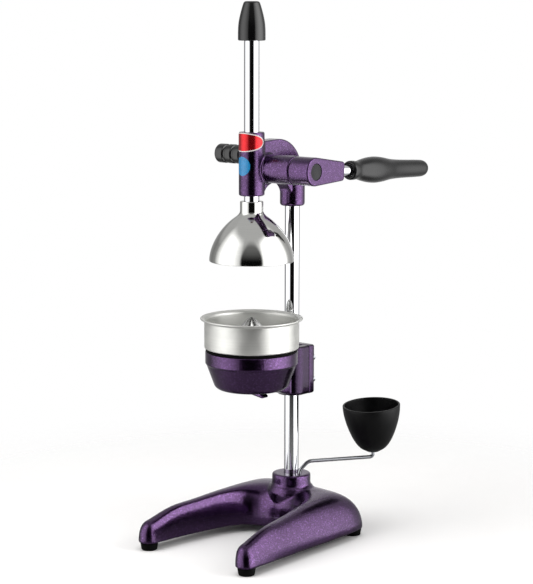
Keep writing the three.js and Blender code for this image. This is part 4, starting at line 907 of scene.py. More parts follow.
class PRESS_OT_press_rod(bpy.types.Operator):
    """Toothed chrome press rod and its moulded cap."""

    bl_idname = "press.press_rod"
    bl_label = "Press rod"

    def execute(self, context):
        self.rod(context.scene.press_sizes)
        self.cap()
        return {"FINISHED"}

    def rod(self, sizes):
        lowest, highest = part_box("rack_rod")
        seat = high("press_bell").z - 12.5 * MM
        radius = sizes.rod_radius
        stud = 4.5 * MM
        chamfer = 0.5 * MM
        edge = 0.7 * MM
        rod = turned([
            (0, lowest.z),
            (stud - chamfer, lowest.z),
            (stud, lowest.z + chamfer),
            (stud, seat),
            (radius - chamfer, seat),
            (radius, seat + chamfer),
            *arc(radius - edge, highest.z - edge, edge, 0, 90, 4),
            (0, highest.z),
        ], ROD_AXIS)
        cut(rod, self.tooth_cutter(sizes))
        finish(rod, "toothed_rod", "chrome", "rack_rod", "press_rod", 30)

    def tooth_cutter(self, sizes):
        """The comb that leaves straight-cut rack teeth on the back of the rod."""
        pitch = math.pi * 1.5 * MM
        pitch_line = 5.5 * MM
        crest = pitch_line + 1.2 * MM
        root = pitch_line - 1.5 * MM
        slope = math.tan(math.radians(25))
        backlash = 0.2 * MM
        pitch_half = (pitch / 2 + backlash) / 2
        crest_half = pitch_half + (crest - pitch_line) * slope
        root_half = pitch_half - (pitch_line - root) * slope
        outside = sizes.rod_radius + 2 * MM
        count = 26
        first = PINION.z - 2.5 * pitch
        outline = [(outside, first - crest_half)]
        for i in range(count):
            height = first + i * pitch
            outline += [
                (crest, height - crest_half), (root, height - root_half),
                (root, height + root_half), (crest, height + crest_half),
            ]
        outline.append((outside, first + (count - 1) * pitch + crest_half))
        return plate(outline, ROD_AXIS - X * outside, Y, Z, X * 2 * outside)

    def cap(self):
        lowest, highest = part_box("rack_cap")
        bottom = 14.3 * MM
        height = highest.z - lowest.z
        edge = 3.2 * MM
        rim = 1.2 * MM
        inside = 8.3 * MM
        roof = 6 * MM
        rows = [smooth_row(CAP_SHARES, i / 24) for i in range(25)]
        side = [(width * bottom, up * height) for up, width in rows]
        cap = turned([
            (inside, 0.4 * MM),
            (inside + 0.4 * MM, 0),
            *arc(bottom - rim, rim, rim, -90, -10, 4),
            *side,
            *arc(side[-1][0] - edge, height - edge, edge, 20, 90, 8)[:-1],
            (0, height),
            (0, height - roof),
            (inside, height - roof),
        ], level(ROD_AXIS, lowest.z), closed=True)
        finish(cap, "rod_cap", "plastic", "rack_cap", "press_rod")


class PRESS_OT_bell(bpy.types.Operator):
    """Polished press bell, hollow below, with a rolled rim and a neck."""

    bl_idname = "press.bell"
    bl_label = "Press bell"

    def execute(self, context):
        sizes = context.scene.press_sizes
        lowest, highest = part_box("press_bell")
        rim = sizes.bell_radius
        wall = sizes.bell_wall
        neck = sizes.bell_neck
        crown = lowest.z + sizes.bell_dome
        floor = crown - 9 * MM
        seat = floor + 9.3 * MM
        bore = sizes.rod_radius + GAP
        stud_hole = 4.8 * MM
        lip = 0.4 * MM
        rim_edge = 0.7 * MM
        neck_edge = 1.1 * MM
        inside = [point for point in self.side(sizes, wall, lowest.z) if point[1] < floor]
        shoulder = curve([(neck + 3.8 * MM, crown), (neck, crown + 3 * MM), (neck, crown + 6 * MM)], 8)
        bell = turned([
            (rim - wall, lowest.z + lip),
            (rim - wall + lip, lowest.z),
            *arc(rim - rim_edge, lowest.z + rim_edge, rim_edge, -90, 0, 4),
            *self.side(sizes, 0, lowest.z),
            *shoulder[1:],
            *arc(neck - neck_edge, highest.z - neck_edge, neck_edge, 0, 90, 5),
            (bore + GAP, highest.z),
            (bore, highest.z - GAP),
            (bore, seat),
            (stud_hole, seat),
            (stud_hole, floor),
            (inside[-1][0] - wall, floor),
            *reversed(inside),
        ], ROD_AXIS, steps=128, closed=True)
        finish(bell, "bell_shell", "bell", "press_bell", "press_rod", 30)
        return {"FINISHED"}

    def side(self, sizes, inset, bottom):
        """The dome's side from the rim up to its shoulder, moved inwards by the inset."""
        rim = sizes.bell_radius - inset
        crown = sizes.bell_dome - inset
        points = curve([
            (rim, 2.2 * MM),
            (rim * 0.98, crown * 0.355),
            (rim * 0.74, crown * 0.762),
            (sizes.bell_neck + 3.8 * MM, crown),
        ], 36)
        return [(radius, bottom + height) for radius, height in points]


LEVER_DROOP = math.radians(2.66)
LEVER_BAR_RADIUS = 5.25 * MM


class PRESS_OT_lever_arm(bpy.types.Operator):
    """Cast lever arm: a round hub with a flat tapered arm, and the grey disc in its face."""

    bl_idname = "press.lever_arm"
    bl_label = "Lever arm"

    def execute(self, context):
        radius = 14.8 * MM
        reach = 47 * MM
        end_half = 10.2 * MM
        corner = 3.4 * MM
        thickness = 17 * MM
        end_x = 75 * MM
        hub_start = 48.9 * MM
        hub_edge = 1.4 * MM
        lean = math.degrees(math.asin((radius - end_half) / reach))
        outline = [
            *arc(0, 0, radius, 90 - lean, 270 + lean, 40),
            *arc(reach - corner, -end_half + corner, corner, -90 + lean, 0),
            *arc(reach - corner, end_half - corner, corner, 0, 90 - lean),
        ]
        arm = plate(outline, BOSS_AXIS + X * (end_x - thickness), Y, Z, X * thickness)
        round_edges(arm, 1.7 * MM, 4, 60)
        hub = turned(bar(radius, hub_start, end_x - 2.5 * MM, hub_edge), BOSS_AXIS, X)
        arm = as_cast(fuse(arm, hub), 0.6 * MM, 3)
        bar_axis = BOSS_AXIS + X * (end_x - thickness / 2)
        bar_depth = reach - 24 * MM
        grub = bar_axis + Y * (reach - 12 * MM)
        cut(
            arm,
            drill(8.8 * MM, 66.5 * MM, end_x + radius, BOSS_AXIS, X),
            drill(7.8 * MM, 40 * MM, 66.2 * MM, BOSS_AXIS, X),
            drill(LEVER_BAR_RADIUS + GAP, bar_depth - GAP, reach + radius, bar_axis, Y),
            drill(2.8 * MM, 0, radius * 2, grub, steps=32),
        )
        # The arm was modelled level, and is turned down to the lever's rest
        pick(arm)
        bpy.ops.object.transform_apply(location=True)
        down = Matrix.Rotation(-LEVER_DROOP, 4, "X")
        arm.data.transform(Matrix.Translation(PINION) @ down @ Matrix.Translation(-PINION))
        finish(arm, "lever_arm_casting", "paint", "lever_arm", "lever")
        self.disc()
        return {"FINISHED"}

    def disc(self):
        radius = 8.5 * MM
        height = 2.4 * MM
        edge = 0.4 * MM
        face = 2.2 * MM
        disc = turned([
            (0, 0),
            (radius - GAP, 0),
            (radius, GAP),
            *arc(radius - edge, height - edge, edge, 0, 90, 4),
            (7.6 * MM, height),
            (7.2 * MM, face),
            (0, face),
        ], Vector((low("lever_hub_cap").x, PINION.y, PINION.z)), X)
        finish(disc, "hub_disc", "disc", "lever_hub_cap", "lever", 30)


# Outline of the lever's grip: distance along it and radius, as shares of its length and largest radius
LEVER_GRIP_SHARES = [
    (0, 0.6), (0.006, 0.68), (0.018, 0.722), (0.05, 0.722), (0.083, 0.692), (0.115, 0.715), (0.165, 0.82),
    (0.226, 0.93), (0.28, 0.986), (0.33, 1), (0.38, 0.97), (0.43, 0.918), (0.48, 0.846), (0.53, 0.784),
    (0.59, 0.742), (0.66, 0.712), (0.75, 0.693), (0.85, 0.68), (0.91, 0.665), (0.95, 0.646),
    (0.978, 0.58), (0.994, 0.46), (1, 0.36),
]


class PRESS_OT_lever_handle(bpy.types.Operator):
    """Chrome lever rod and the moulded grip with its bulge and waist."""

    bl_idname = "press.lever_handle"
    bl_label = "Lever rod and grip"

    def execute(self, context):
        sizes = context.scene.press_sizes
        along = Vector((0, math.cos(LEVER_DROOP), -math.sin(LEVER_DROOP)))
        axis = Vector((middle("lever_rod").x, PINION.y, PINION.z))
        rod = turned(bar(LEVER_BAR_RADIUS, 30 * MM, 134 * MM, 0.6 * MM), axis, along, X, 64)
        finish(rod, "lever_bar", "chrome", "lever_rod", "lever")
        start = 64 * MM
        length = 133.7 * MM
        hole_end = start + 70.3 * MM
        rows = [smooth_row(LEVER_GRIP_SHARES, i / 75) for i in range(76)]
        bore = 5.6 * MM
        grip = turned([
            (bore, hole_end),
            (bore, start + GAP),
            (bore + GAP, start),
            *[(width * sizes.grip_radius, start + share * length) for share, width in rows],
            (0, start + length),
            (0, hole_end),
        ], axis, along, X, closed=True)
        finish(grip, "lever_grip_moulding", "grip", "lever_grip", "lever", 50)
        return {"FINISHED"}


CLAMP_THICKNESS = 12.2 * MM


class PRESS_OT_bowl(bpy.types.Operator):
    """Juice bowl casting with its spout and the bracket that takes the column."""

    bl_idname = "press.bowl"
    bl_label = "Juice bowl"

    def execute(self, context):
        sizes = context.scene.press_sizes
        radius = sizes.bowl_radius
        inner = radius - sizes.casting_wall
        # The seat stands inside the rim and holds up the strainer
        seat = inner + 0.8 * MM
        seat_top = 213.4 * MM
        rim = 210.6 * MM
        band = 197.3 * MM
        band_edge = 0.8 * MM
        foot = sizes.bowl_foot
        heel = 8 * MM
        bottom = 170 * MM
        floor = bottom + 5 * MM
        inner_heel = arc(foot - 6 * MM, floor + 3 * MM, 3 * MM, -90, -30, 4)
        shell = turned([
            (0, bottom),
            *arc(foot - heel, bottom + heel, heel, -90, -21, 10),
            (radius - 1.1 * MM, band - 0.5 * MM),
            (radius, band + 0.3 * MM),
            *arc(radius - band_edge, rim - band_edge, band_edge, 0, 90, 3),
            (seat, rim),
            (seat, seat_top),
            (inner, seat_top),
            (inner, band),
            *reversed(inner_heel),
            (0, floor),
        ], ROD_AXIS)
        past_top = seat_top + 3.1 * MM
        inside = turned(
            [(0, floor), *inner_heel, (inner, band), (inner, past_top), (0, past_top)], ROD_AXIS)
        bowl = as_cast(fuse(shell, self.spout(bottom), *self.bracket(bottom)), 0.7 * MM, 3)
        lowest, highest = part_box("clamp_plate")
        seam = highest.y - CLAMP_THICKNESS
        bore = sizes.rod_radius + GAP
        under = lowest.z - bore
        over = highest.z + bore
        centre = COLUMN_AXIS.x
        past = 40 * MM
        cut(
            bowl,
            inside,
            self.drain(bottom, floor),
            drill(bore, under, over, COLUMN_AXIS),
            box_between((centre - bore, COLUMN_AXIS.y, under), (centre + bore, seam + bore, over)),
            box_between((centre - past, seam, under), (centre + past, seam + past, over)),
        )
        # The bracket end of the bowl's paint is darkened as painted shade
        finish(bowl, "juice_bowl_casting", "bowl_paint_painted_shade", "bowl_casting")
        return {"FINISHED"}

    def spout(self, bottom):
        """A chute under the drain, with a lip that points to the lever side."""
        width = 9.6 * MM
        outline = [
            (-14 * MM, bottom + 2.5 * MM),
            (-11.5 * MM, bottom - 3.8 * MM),
            (18.4 * MM, bottom - 8.2 * MM),
            (20 * MM, bottom - 6.6 * MM),
            (13.4 * MM, bottom - 1 * MM),
            (13.4 * MM, bottom + 2.5 * MM),
        ]
        return round_edges(plate(outline, ROD_AXIS - Y * width / 2, X, Z, Y * width), 0.8 * MM, 3, 30)

    def drain(self, bottom, floor):
        """What runs out: a hole through the floor and a channel down the spout."""
        width = 6.4 * MM
        start = -8.6 * MM
        end = 21 * MM
        hole = 9 * MM
        outline = [
            (start, bottom - 2.6 * MM),
            (end, bottom - 6.9 * MM),
            (end, bottom - 3 * MM),
            (hole, bottom - 1 * MM),
            (hole, floor + 2 * MM),
            (start, floor + 2 * MM),
        ]
        return plate(outline, ROD_AXIS - Y * width / 2, X, Z, Y * width)

    def bracket(self, bottom):
        """A sleeve on the column, round in front and flat behind for the clamp, and its web to the bowl."""
        lowest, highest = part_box("clamp_plate")
        half = (highest.x - lowest.x) / 2
        half_web = 10 * MM
        behind = highest.y - CLAMP_THICKNESS + 5 * MM - COLUMN_AXIS.y
        start = 20.25 * MM
        outline = curve([
            (start, bottom + 2.5 * MM),
            (SETBACK - 2 * half, lowest.z + 5 * MM),
            (SETBACK - half / 2, lowest.z),
        ], 12)
        outline += [(SETBACK, lowest.z), (SETBACK, highest.z), (start, highest.z)]
        web = plate(outline, ROD_AXIS - X * half_web, Y, Z, X * 2 * half_web)
        plan = [*arc(0, 0, half, 180, 360, 40), (half, behind), (-half, behind)]
        sleeve = plate(plan, level(COLUMN_AXIS, lowest.z), X, Y, Z * (highest.z - lowest.z))
        return [round_edges(sleeve, 2.8 * MM, 5, 50), round_edges(web, 2 * MM, 4, 50)]


class PRESS_OT_clamp(bpy.types.Operator):
    """Clamp plate behind the column, with rounded corners and sunk screw holes."""

    bl_idname = "press.clamp"
    bl_label = "Clamp plate"

    def execute(self, context):
        lowest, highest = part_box("clamp_plate")
        centre = COLUMN_AXIS.x
        half = (highest.x - lowest.x) / 2
        back = highest.y
        front = back - CLAMP_THICKNESS + GAP
        corner = 5 * MM
        outline = [
            (-half, front),
            (half, front),
            *arc(half - corner, back - corner, corner, 0, 90),
            *arc(-half + corner, back - corner, corner, 90, 180),
        ]
        block = plate(outline, Vector((centre, 0, lowest.z)), X, Y, Z * (highest.z - lowest.z))
        round_edges(block, 2.2 * MM, 5, 50)
        cutters = []
        for i in range(1, 5):
            screw = middle(f"clamp_screw_{i}")
            mouth = Vector((screw.x, back, screw.z))
            cutters.append(drill(3.8 * MM, -4.3 * MM, 2 * MM, mouth, Y, 40))
            cutters.append(drill(SCREW_HOLE, -20 * MM, 0, mouth, Y, 32))
        cut(block, *cutters)
        pad_half = 8 * MM
        inset = 1.4 * MM
        pad = box_between(
            (centre - pad_half, lowest.y, lowest.z + inset),
            (centre + pad_half, front + 3 * MM, highest.z - inset))
        modify(block, "BOOLEAN", operation="UNION", object=pad, solver="EXACT")
        bpy.data.objects.remove(pad)
        # The block's paint is darkened all over as painted shade
        finish(block, "clamp_block", "clamp_paint_painted_shade", "clamp_plate")
        return {"FINISHED"}


class PRESS_OT_strainer(bpy.types.Operator):
    """Pressed stainless strainer with a flared, rolled lip and a slotted floor, on a black seal ring that
    gives the painted shadow under its lip.
    """

    bl_idname = "press.strainer"
    bl_label = "Strainer"

    def execute(self, context):
        sizes = context.scene.press_sizes
        lowest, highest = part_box("strainer_bowl")
        wall = sizes.strainer_radius
        sheet = sizes.sheet
        floor = lowest.z
        shelf = floor + 10.5 * MM
        top = highest.z + 1.2 * MM
        drop = 44.4 * MM
        bend = 1.6 * MM
        inner_bend = bend - sheet + 0.2 * MM
        rise = top - 4.5 * MM
        flare = 3 * MM
        roll = 0.9 * MM
        hole = 5.8 * MM
        bowl = turned([
            (hole, floor),
            *arc(drop - bend, floor + bend, bend, -90, 0, 4),
            (drop, shelf),
            *arc(wall - bend, shelf + bend, bend, -90, 0, 5),
            (wall, rise),
            *arc(wall + flare, rise, flare, 180, 118, 5),
            *arc(sizes.strainer_flange - roll, top - 0.95 * MM, roll, -70, 160, 9),
            *arc(wall + flare, rise, flare + sheet, 112, 180, 5),
            (wall - sheet, shelf + bend),
            *arc(wall - bend, shelf + bend, inner_bend, 0, -90, 3),
            (drop - sheet, shelf + sheet),
            (drop - sheet, floor + bend),
            *arc(drop - bend, floor + bend, inner_bend, 0, -90, 3),
            (hole, floor + sheet),
        ], ROD_AXIS, steps=128, closed=True)
        self.seal(shelf - 0.1 * MM)
        slot_from = drop - bend - sheet - 8 * MM
        slot_half = 1.1 * MM
        count = 18
        slots = []
        for i in range(count):
            slot = box_between(
                (slot_from, -slot_half, floor - 2 * MM), (slot_from + 8 * MM, slot_half, floor + 2 * MM))
            pick(slot)
            bpy.ops.object.transform_apply(location=True, rotation=True, scale=True)
            turn = Matrix.Rotation((i + 0.5) * FULL_TURN / count, 4, "Z")
            slot.data.transform(Matrix.Translation(ROD_AXIS) @ turn)
            slots.append(slot)
        cut(bowl, fuse(*slots))
        finish(bowl, "strainer_shell", "stainless", "strainer_bowl", sharpness=30)
        return {"FINISHED"}

    def seal(self, top):
        """A black ring, drawn as a rubber seal, that stands in for the shadow line between the strainer and
        the bowl.
        """
        half = 1.65 * MM
        inner = 45.4 * MM
        ring = turned([
            (inner, top - 2 * half),
            *arc(inner + 1.5 * MM, top - half, half, -90, 90, 10),
            (inner, top),
        ], ROD_AXIS, steps=128, closed=True)
        finish(ring, "strainer_seal_for_shadow_line", "rubber")


class PRESS_OT_reamer(bpy.types.Operator):
    """Reamer cone with eight round ribs that run together at its tip."""

    bl_idname = "press.reamer"
    bl_label = "Reamer"

    def execute(self, context):
        radius = context.scene.press_sizes.reamer_radius
        base = low("strainer_bowl").z + 1.5 * MM
        height = high("reamer_cone").z - base
        ribs = 8
        sides = ribs * 16
        steps = 28
        groove_share = 0.17
        rings = []
        for i in range(steps):
            up = math.sin(math.pi / 2 * i / steps)
            widest = radius * (1 - up ** 1.5) ** 0.8
            ring = []
            for j in range(sides):
                turn = FULL_TURN * j / sides
                wave = abs(math.sin(ribs / 2 * turn))
                reach = widest * (1 - groove_share + groove_share * wave)
                ring.append(ROD_AXIS + Vector((
                    reach * math.cos(turn), reach * math.sin(turn), base + height * up)))
            rings.append(ring)
        skin(rings, closed=True)
        bpy.ops.mesh.merge(type="CENTER")
        bpy.ops.mesh.select_all(action="DESELECT")
        bpy.ops.mesh.select_mode(type="EDGE")
        bpy.ops.mesh.select_non_manifold()
        bpy.ops.mesh.edge_face_add()
        finish(close_mesh(), "ribbed_reamer", "reamer", "reamer_cone", sharpness=60)
        return {"FINISHED"}


class PRESS_OT_drip(bpy.types.Operator):
    """Drip cup on its bent wire."""

    bl_idname = "press.drip"
    bl_label = "Drip cup and arm"

    def execute(self, context):
        sizes = context.scene.press_sizes
        hub_top = high("base_casting").z
        # The wire enters the cup at the far end of the arm's box, less its own radius
        corner = high("drip_arm")
        foot = Vector((corner.x - sizes.wire_radius, corner.y - sizes.wire_radius, 0))
        self.arm(sizes, foot, hub_top)
        self.cup(sizes, level(foot, hub_top + 20.6 * MM))
        return {"FINISHED"}

    def arm(self, sizes, foot, hub_top):
        pivot = swing_axis()
        height = hub_top + 13.8 * MM
        elbow = level(pivot, hub_top + 4 * MM)
        shoulder = level(pivot + (foot - pivot).normalized() * 10 * MM, height)
        far_corner = level(foot, height)
        draw([
            level(pivot, low("drip_arm").z), elbow, shoulder, far_corner, level(foot, high("drip_arm").z)])
        piece = bpy.context.object
        bpy.ops.mesh.select_all(action="DESELECT")
        mesh = bmesh.from_edit_mesh(piece.data)
        origin = piece.matrix_world.translation
        for vertex in mesh.verts:
            here = vertex.co + origin
            vertex.select = any((here - bend).length < MM for bend in (elbow, shoulder, far_corner))
        bmesh.update_edit_mesh(piece.data)
        bpy.ops.mesh.bevel(offset=3.8 * MM, segments=10, affect="VERTICES")
        pick(piece)
        bpy.ops.object.convert(target="CURVE")
        wire = bpy.context.object
        wire.data.bevel_depth = sizes.wire_radius
        wire.data.bevel_resolution = 6
        wire.data.use_fill_caps = True
        bpy.ops.object.convert(target="MESH")
        edit()
        finish(close_mesh(), "drip_wire", "wire", "drip_arm", "drip_tray", 40)

    def cup(self, sizes, foot):
        rim = sizes.cup_radius
        wall = sizes.cup_wall
        height = 52.3 * MM
        foot_share = 0.035
        floor = 9 * MM
        edge = 0.6 * MM
        bore = 2.6 * MM
        bore_top = 6.3 * MM
        outside = []
        inside = []
        for i in range(25):
            share = (i / 24) ** 1.6
            up = foot_share + (1 - foot_share) * share
            outside.append((self.radius(rim, up), height * up))
            height_in = floor + (height - floor) * share
            up_in = max(0, height_in - wall) / height
            inside.append((self.radius(rim, up_in) - wall * 0.9, height_in))
        outside[-1:] = arc(rim - edge, height - edge, edge, 0, 90, 4)
        inside[-1:] = arc(inside[-1][0] + 0.5 * MM, height - 0.5 * MM, 0.5 * MM, 180, 90, 3)
        cup = turned([
            (bore, bore_top),
            (bore, 0),
            (outside[0][0] * 0.7, 0),
            *outside,
            *reversed(inside),
            (0, floor),
            (0, bore_top),
        ], Vector((0, 0, 0)), closed=True)
        # The cup leans a little about the wire's far end
        lean_axis = Matrix.Rotation(math.radians(-3.2), 4, "Z") @ X
        cup.data.transform(Matrix.Translation(foot) @ Matrix.Rotation(math.radians(4.6), 4, lean_axis))
        finish(cup, "drip_cup_moulding", "cup", "drip_cup", "drip_tray", 40)

    def radius(self, rim, up):
        """The cup's radius at a share of its height: steep at the rim and round at the foot."""
        return rim * (1 - (1 - up) ** 2) ** (0.4 + 0.42 * up)


FILM_RINGS = 28
FILM_SIDES = 72
FILM_TURN = math.radians(-97.5)


class PRESS_OT_labels(bpy.types.Operator):
    """Plain coloured film on the sleeve: an oval with a pale border and a dot, with nothing printed."""

    bl_idname = "press.labels"
    bl_label = "Plain films"

    def execute(self, context):
        for name, coat, below_top, half_width, half_height, lift in (
            ("sleeve_oval_border", "oval_border", 10.4 * MM, 26.9 * MM, 9.9 * MM, 0.06 * MM),
            ("sleeve_oval", "oval", 10.4 * MM, 25 * MM, 8.9 * MM, 0.14 * MM),
            ("sleeve_dot", "dot", 35.2 * MM, 9.9 * MM, 9.9 * MM, 0.06 * MM),
        ):
            centre = level(ROD_AXIS, high("head_casting").z - below_top)
            radius = context.scene.press_sizes.sleeve_radius + lift
            self.film(centre, radius, half_width, half_height)
            finish(close_mesh(), name, coat, sharpness=40)
        return {"FINISHED"}

    def film(self, centre, radius, half_width, half_height):
        """An oval of film laid round the sleeve, a little to the left of its front."""
        rings = []
        for i in range(FILM_RINGS):
            share = 1 - i / FILM_RINGS
            ring = []
            for j in range(FILM_SIDES):
                turn = FULL_TURN * j / FILM_SIDES
                bearing = FILM_TURN + share * half_width * math.cos(turn) / radius
                ring.append(centre + Vector((
                    radius * math.cos(bearing), radius * math.sin(bearing),
                    share * half_height * math.sin(turn))))
            rings.append(ring)
        skin(rings, closed=True)
        bpy.ops.mesh.edge_face_add()


class PRESS_OT_fasteners(bpy.types.Operator):
    """Zinc plate on the screws, studs and inner steel pieces that keep their solids."""

    bl_idname = "press.fasteners"
    bl_label = "Fasteners"

    def execute(self, context):
        material = FINISHES["zinc"][1]
        for node in frame["nodes"].values():
            if node.hide_render or "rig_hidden" in node:
                continue
            if not node.material_slots:
                node.data.materials.append(material)
            for slot in node.material_slots:
                slot.link = "OBJECT"
                slot.material = material
        return {"FINISHED"}


# Brightness round the room, as a share of the softboxes' own, from ahead of the camera to behind
ROOM_SHARES = [
    (0, 0.18), (0.15, 0.2), (0.19, 0.4), (0.33, 0.9), (0.42, 1), (0.52, 0.76),
    (0.6, 0.42), (0.66, 0.15), (0.76, 0.1), (0.9, 0.15), (1, 0.24),
]
LEFT_POWER = 2.5
RIGHT_POWER = 4.4
# Half width and height of the dark gap between the softboxes, in degrees
DARK_HALF_TURN = 30
DARK_RISE = 50
# Each lamp's turn and rise in degrees, its distance and width in metres, and its power in watts
LAMPS = {
    "key_softbox": (-62, 38, 1.3, 0.8, 9),
    "fill_softbox": (68, 26, 1.4, 0.8, 7),
    "top_softbox": (10, 82, 1.3, 0.9, 8),
}


class PRESS_OT_studio(bpy.types.Operator):
    """Pale floor, soft lamps, white background and the camera."""

    bl_idname = "press.studio"
    bl_label = "Studio"

    def execute(self, context):
        studio = context.scene.press_studio
        context.scene.view_settings.view_transform = "Standard"
        self.floor(studio)
        forward = self.camera(context, studio)
        self.lamps(forward)
        self.world(context, forward)
        return {"FINISHED"}

    def floor(self, studio):
        """Matt paper that fades out into the background; shiny pieces see it dull and dark."""
        pick()
        bpy.ops.mesh.primitive_plane_add(size=6)
        floor = bpy.context.object
        floor.name = "studio_floor"
        material, add, place = new_material("matt_paper")
        fibres = add("TexNoise", {"Vector": place, "Scale": 1 / (40 * MM), "Detail": 2})
        tones = [(0.2, shade(studio.floor, 0.99)), (0.8, studio.floor)]
        tone = add("ValToRGB", {"Fac": fibres}, stops=tones)
        mirrored = add("LightPath", out="Is Glossy Ray")
        seen = add("Mix", {"Factor": mirrored, 6: tone, 7: (*grey(0.3), 1)}, 2, data_type="RGBA")
        paper = add("BsdfPrincipled", {"Base Color": seen, "Roughness": 0.75, "Specular IOR Level": 0.15})
        clear = add("BsdfTransparent")
        away = add("VectorMath", {0: place}, "Value", operation="LENGTH")
        # At a glancing angle a table mirrors the room, as Fresnel has it, but not between the legs
        facing = add("LayerWeight", {"Blend": 0.5}, "Facing")
        reach = studio.floor_reach
        ranges = ((away, reach, 2.6 * reach), (facing, 0.5, 0.8), (away, 110 * MM, 160 * MM))
        fade, glancing, outside = [
            add("MapRange", {"Value": value, "From Min": start, "From Max": end},
                interpolation_type="SMOOTHSTEP")
            for value, start, end in ranges]
        glance = add("Math", {0: mirrored, 1: glancing}, operation="MULTIPLY")
        glance = add("Math", {0: glance, 1: outside}, operation="MULTIPLY")
        see_through = add("Math", {0: fade, 1: glance}, operation="MAXIMUM")
        mixed = add("MixShader", {0: see_through, 1: paper, 2: clear})
        add("OutputMaterial", {"Surface": mixed}, None)
        floor.data.materials.append(material)

    def camera(self, context, studio):
        """Sets the camera by its turn, pitch and aim, and returns its level forward direction."""
        turn = studio.camera_turn
        pitch = studio.camera_pitch
        roll = studio.camera_roll
        forward = Vector((
            -math.sin(turn) * math.cos(pitch), math.cos(turn) * math.cos(pitch), -math.sin(pitch)))
        level_right = Vector((math.cos(turn), math.sin(turn), 0))
        right = level_right * math.cos(roll) + level_right.cross(forward) * math.sin(roll)
        up = right.cross(forward)
        aim = level(ROD_AXIS, studio.aim_height) + right * studio.aim_right + up * studio.aim_up
        pick()
        bpy.ops.object.camera_add(location=aim - forward * studio.camera_distance)
        camera = bpy.context.object
        camera.name = "camera"
        camera.rotation_euler = Matrix((right, up, -forward)).transposed().to_euler()
        camera.data.sensor_fit = "HORIZONTAL"
        camera.data.sensor_width = 36
        camera.data.lens = studio.lens
        camera.data.clip_start = 0.01
        camera.data.clip_end = 50
        context.scene.camera = camera
        return level(forward, 0).normalized()

    def lamps(self, forward):
        """Soft light for dull surfaces and shadows; shiny ones show the softboxes of the room instead."""
        aim = Vector((0, 0, 0.25))
        for name, (turn, rise, distance, width, power) in LAMPS.items():
            level_way = Matrix.Rotation(math.radians(turn), 4, "Z") @ -forward
            way = level_way * math.cos(math.radians(rise)) + Z * math.sin(math.radians(rise))
            pick()
            bpy.ops.object.light_add(type="AREA", location=aim + way * distance)
            lamp = bpy.context.object
            lamp.name = name
            lamp.data.shape = "SQUARE"
            lamp.data.size = width
            lamp.data.energy = power
            lamp.visible_glossy = False
            lamp.rotation_euler = (-way).to_track_quat("-Z", "Y").to_euler()

    def world(self, context, forward):
        """White to the camera; to shiny pieces a room with a softbox at each side and a dark gap."""
        world = bpy.data.worlds.new("softbox_room")
        context.scene.world = world
        add = empty_tree(world)
        way = add("TexCoord", out="Generated")
        turn = math.atan2(-forward.y, -forward.x)
        turned_way = add("Mapping", {"Vector": way, "Rotation": (0, 0, -turn)})
        parts = add("SeparateXYZ", {"Vector": turned_way}, None)
        up = parts["Z"]
        bearing = add("Math", {0: parts["Y"], 1: parts["X"]}, operation="ARCTAN2")
        either_side = add("Math", {0: bearing}, operation="ABSOLUTE")
        share = add("Math", {0: either_side, 1: math.pi}, operation="DIVIDE")
        stops = [(position, grey(light)) for position, light in ROOM_SHARES]
        level_room = add("ValToRGB", {"Fac": share}, stops=stops)
        power = add("MapRange", {
            "Value": parts["Y"], "From Min": -0.3, "From Max": 0.3,
            "To Min": LEFT_POWER, "To Max": RIGHT_POWER})
        lit_room = add("VectorMath", {0: level_room, "Scale": power}, operation="SCALE")
        rise, overhead, gap_rise = [
            add("MapRange", {"Value": up, "From Min": start, "From Max": end},
                interpolation_type="SMOOTHSTEP")
            for start, end in ((0.08, 0.45), (0.66, 0.87), (0.1, 0.75))]
        # The walls' upper part and the ceiling are never dark
        lift = add("Math", {0: rise, 1: 0.55}, operation="MULTIPLY")
        lifted = add("VectorMath", {0: lit_room, 1: lift}, operation="MAXIMUM")
        room = add("Mix", {"Factor": overhead, 6: lifted, 7: (*grey(0.6), 1)}, 2, data_type="RGBA")
        # The dark gap is a rounded box: a power of 3 of its share across and above
        across = add("Math", {0: share, 1: DARK_HALF_TURN / 180}, operation="DIVIDE")
        above_floor = add("Math", {0: up, 1: 0}, operation="MAXIMUM")
        above = add("Math", {0: above_floor, 1: math.sin(math.radians(DARK_RISE))}, operation="DIVIDE")
        cubes = [add("Math", {0: part, 1: 3}, operation="POWER") for part in (across, above)]
        both = add("Math", {0: cubes[0], 1: cubes[1]}, operation="ADD")
        from_gap = add("Math", {0: both, 1: 1 / 3}, operation="POWER")
        gap_tone = add(
            "Mix", {"Factor": gap_rise, 6: (*grey(0.003), 1), 7: (*grey(0.2), 1)}, 2, data_type="RGBA")
        gap_edge = add(
            "MapRange", {"Value": from_gap, "From Min": 0.88, "From Max": 1.12},
            interpolation_type="SMOOTHSTEP")
        shiny = add("Mix", {"Factor": gap_edge, 6: gap_tone, 7: room}, 2, data_type="RGBA")
        path = add("LightPath", out=None)
        mirrored = add(
            "Math", {0: path["Is Glossy Ray"], 1: path["Is Transmission Ray"]}, operation="MAXIMUM")
        seen = add("Mix", {"Factor": mirrored, 6: (*grey(0.5), 1), 7: shiny}, 2, data_type="RGBA")
        shown = add(
            "Mix", {"Factor": path["Is Camera Ray"], 6: seen, 7: (*grey(1), 1)}, 2, data_type="RGBA")
        background = add("Background", {"Color": shown, "Strength": 1})
        add("OutputWorld", {"Surface": background}, None)


class PRESS_PT_panel(bpy.types.Panel):
    """Lists the operators of the press and its sizes, colours and studio."""

    bl_label = "Press"
    bl_idname = "PRESS_PT_panel"
    bl_space_type = "VIEW_3D"
    bl_region_type = "UI"
    bl_category = "Press"

    def draw(self, context):
        column = self.layout.column()
        for operator in OPERATORS:
            column.operator(operator.bl_idname)
        scene = context.scene
        for settings in (scene.press_sizes, scene.press_finishes, scene.press_studio):
            for name in settings.__annotations__:
                column.prop(settings, name)


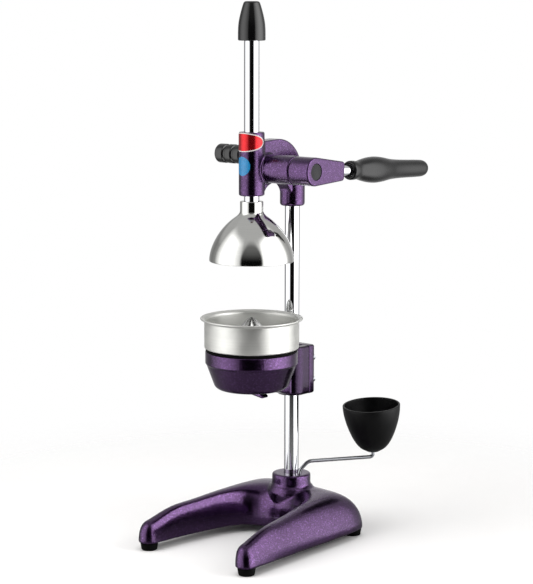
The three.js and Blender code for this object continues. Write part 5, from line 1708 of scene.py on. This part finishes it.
OPERATORS = (
    PRESS_OT_base,
    PRESS_OT_feet,
    PRESS_OT_column,
    PRESS_OT_head,
    PRESS_OT_side_grip,
    PRESS_OT_press_rod,
    PRESS_OT_bell,
    PRESS_OT_lever_arm,
    PRESS_OT_lever_handle,
    PRESS_OT_bowl,
    PRESS_OT_clamp,
    PRESS_OT_strainer,
    PRESS_OT_reamer,
    PRESS_OT_drip,
    PRESS_OT_labels,
    PRESS_OT_fasteners,
    PRESS_OT_studio,
)
CLASSES = (PressSizes, PressFinishes, PressStudio, *OPERATORS, PRESS_PT_panel)


def register():
    for each in CLASSES:
        bpy.utils.register_class(each)
    bpy.types.Scene.press_sizes = PointerProperty(type=PressSizes)
    bpy.types.Scene.press_finishes = PointerProperty(type=PressFinishes)
    bpy.types.Scene.press_studio = PointerProperty(type=PressStudio)


def unregister():
    del bpy.types.Scene.press_studio
    del bpy.types.Scene.press_finishes
    del bpy.types.Scene.press_sizes
    for each in reversed(CLASSES):
        bpy.utils.unregister_class(each)


def main():
    register()
    make_finishes()
    for operator in OPERATORS:
        step = operator.bl_idname.split(".")[1]
        getattr(bpy.ops.press, step)()


if __name__ == "__main__":
    main()
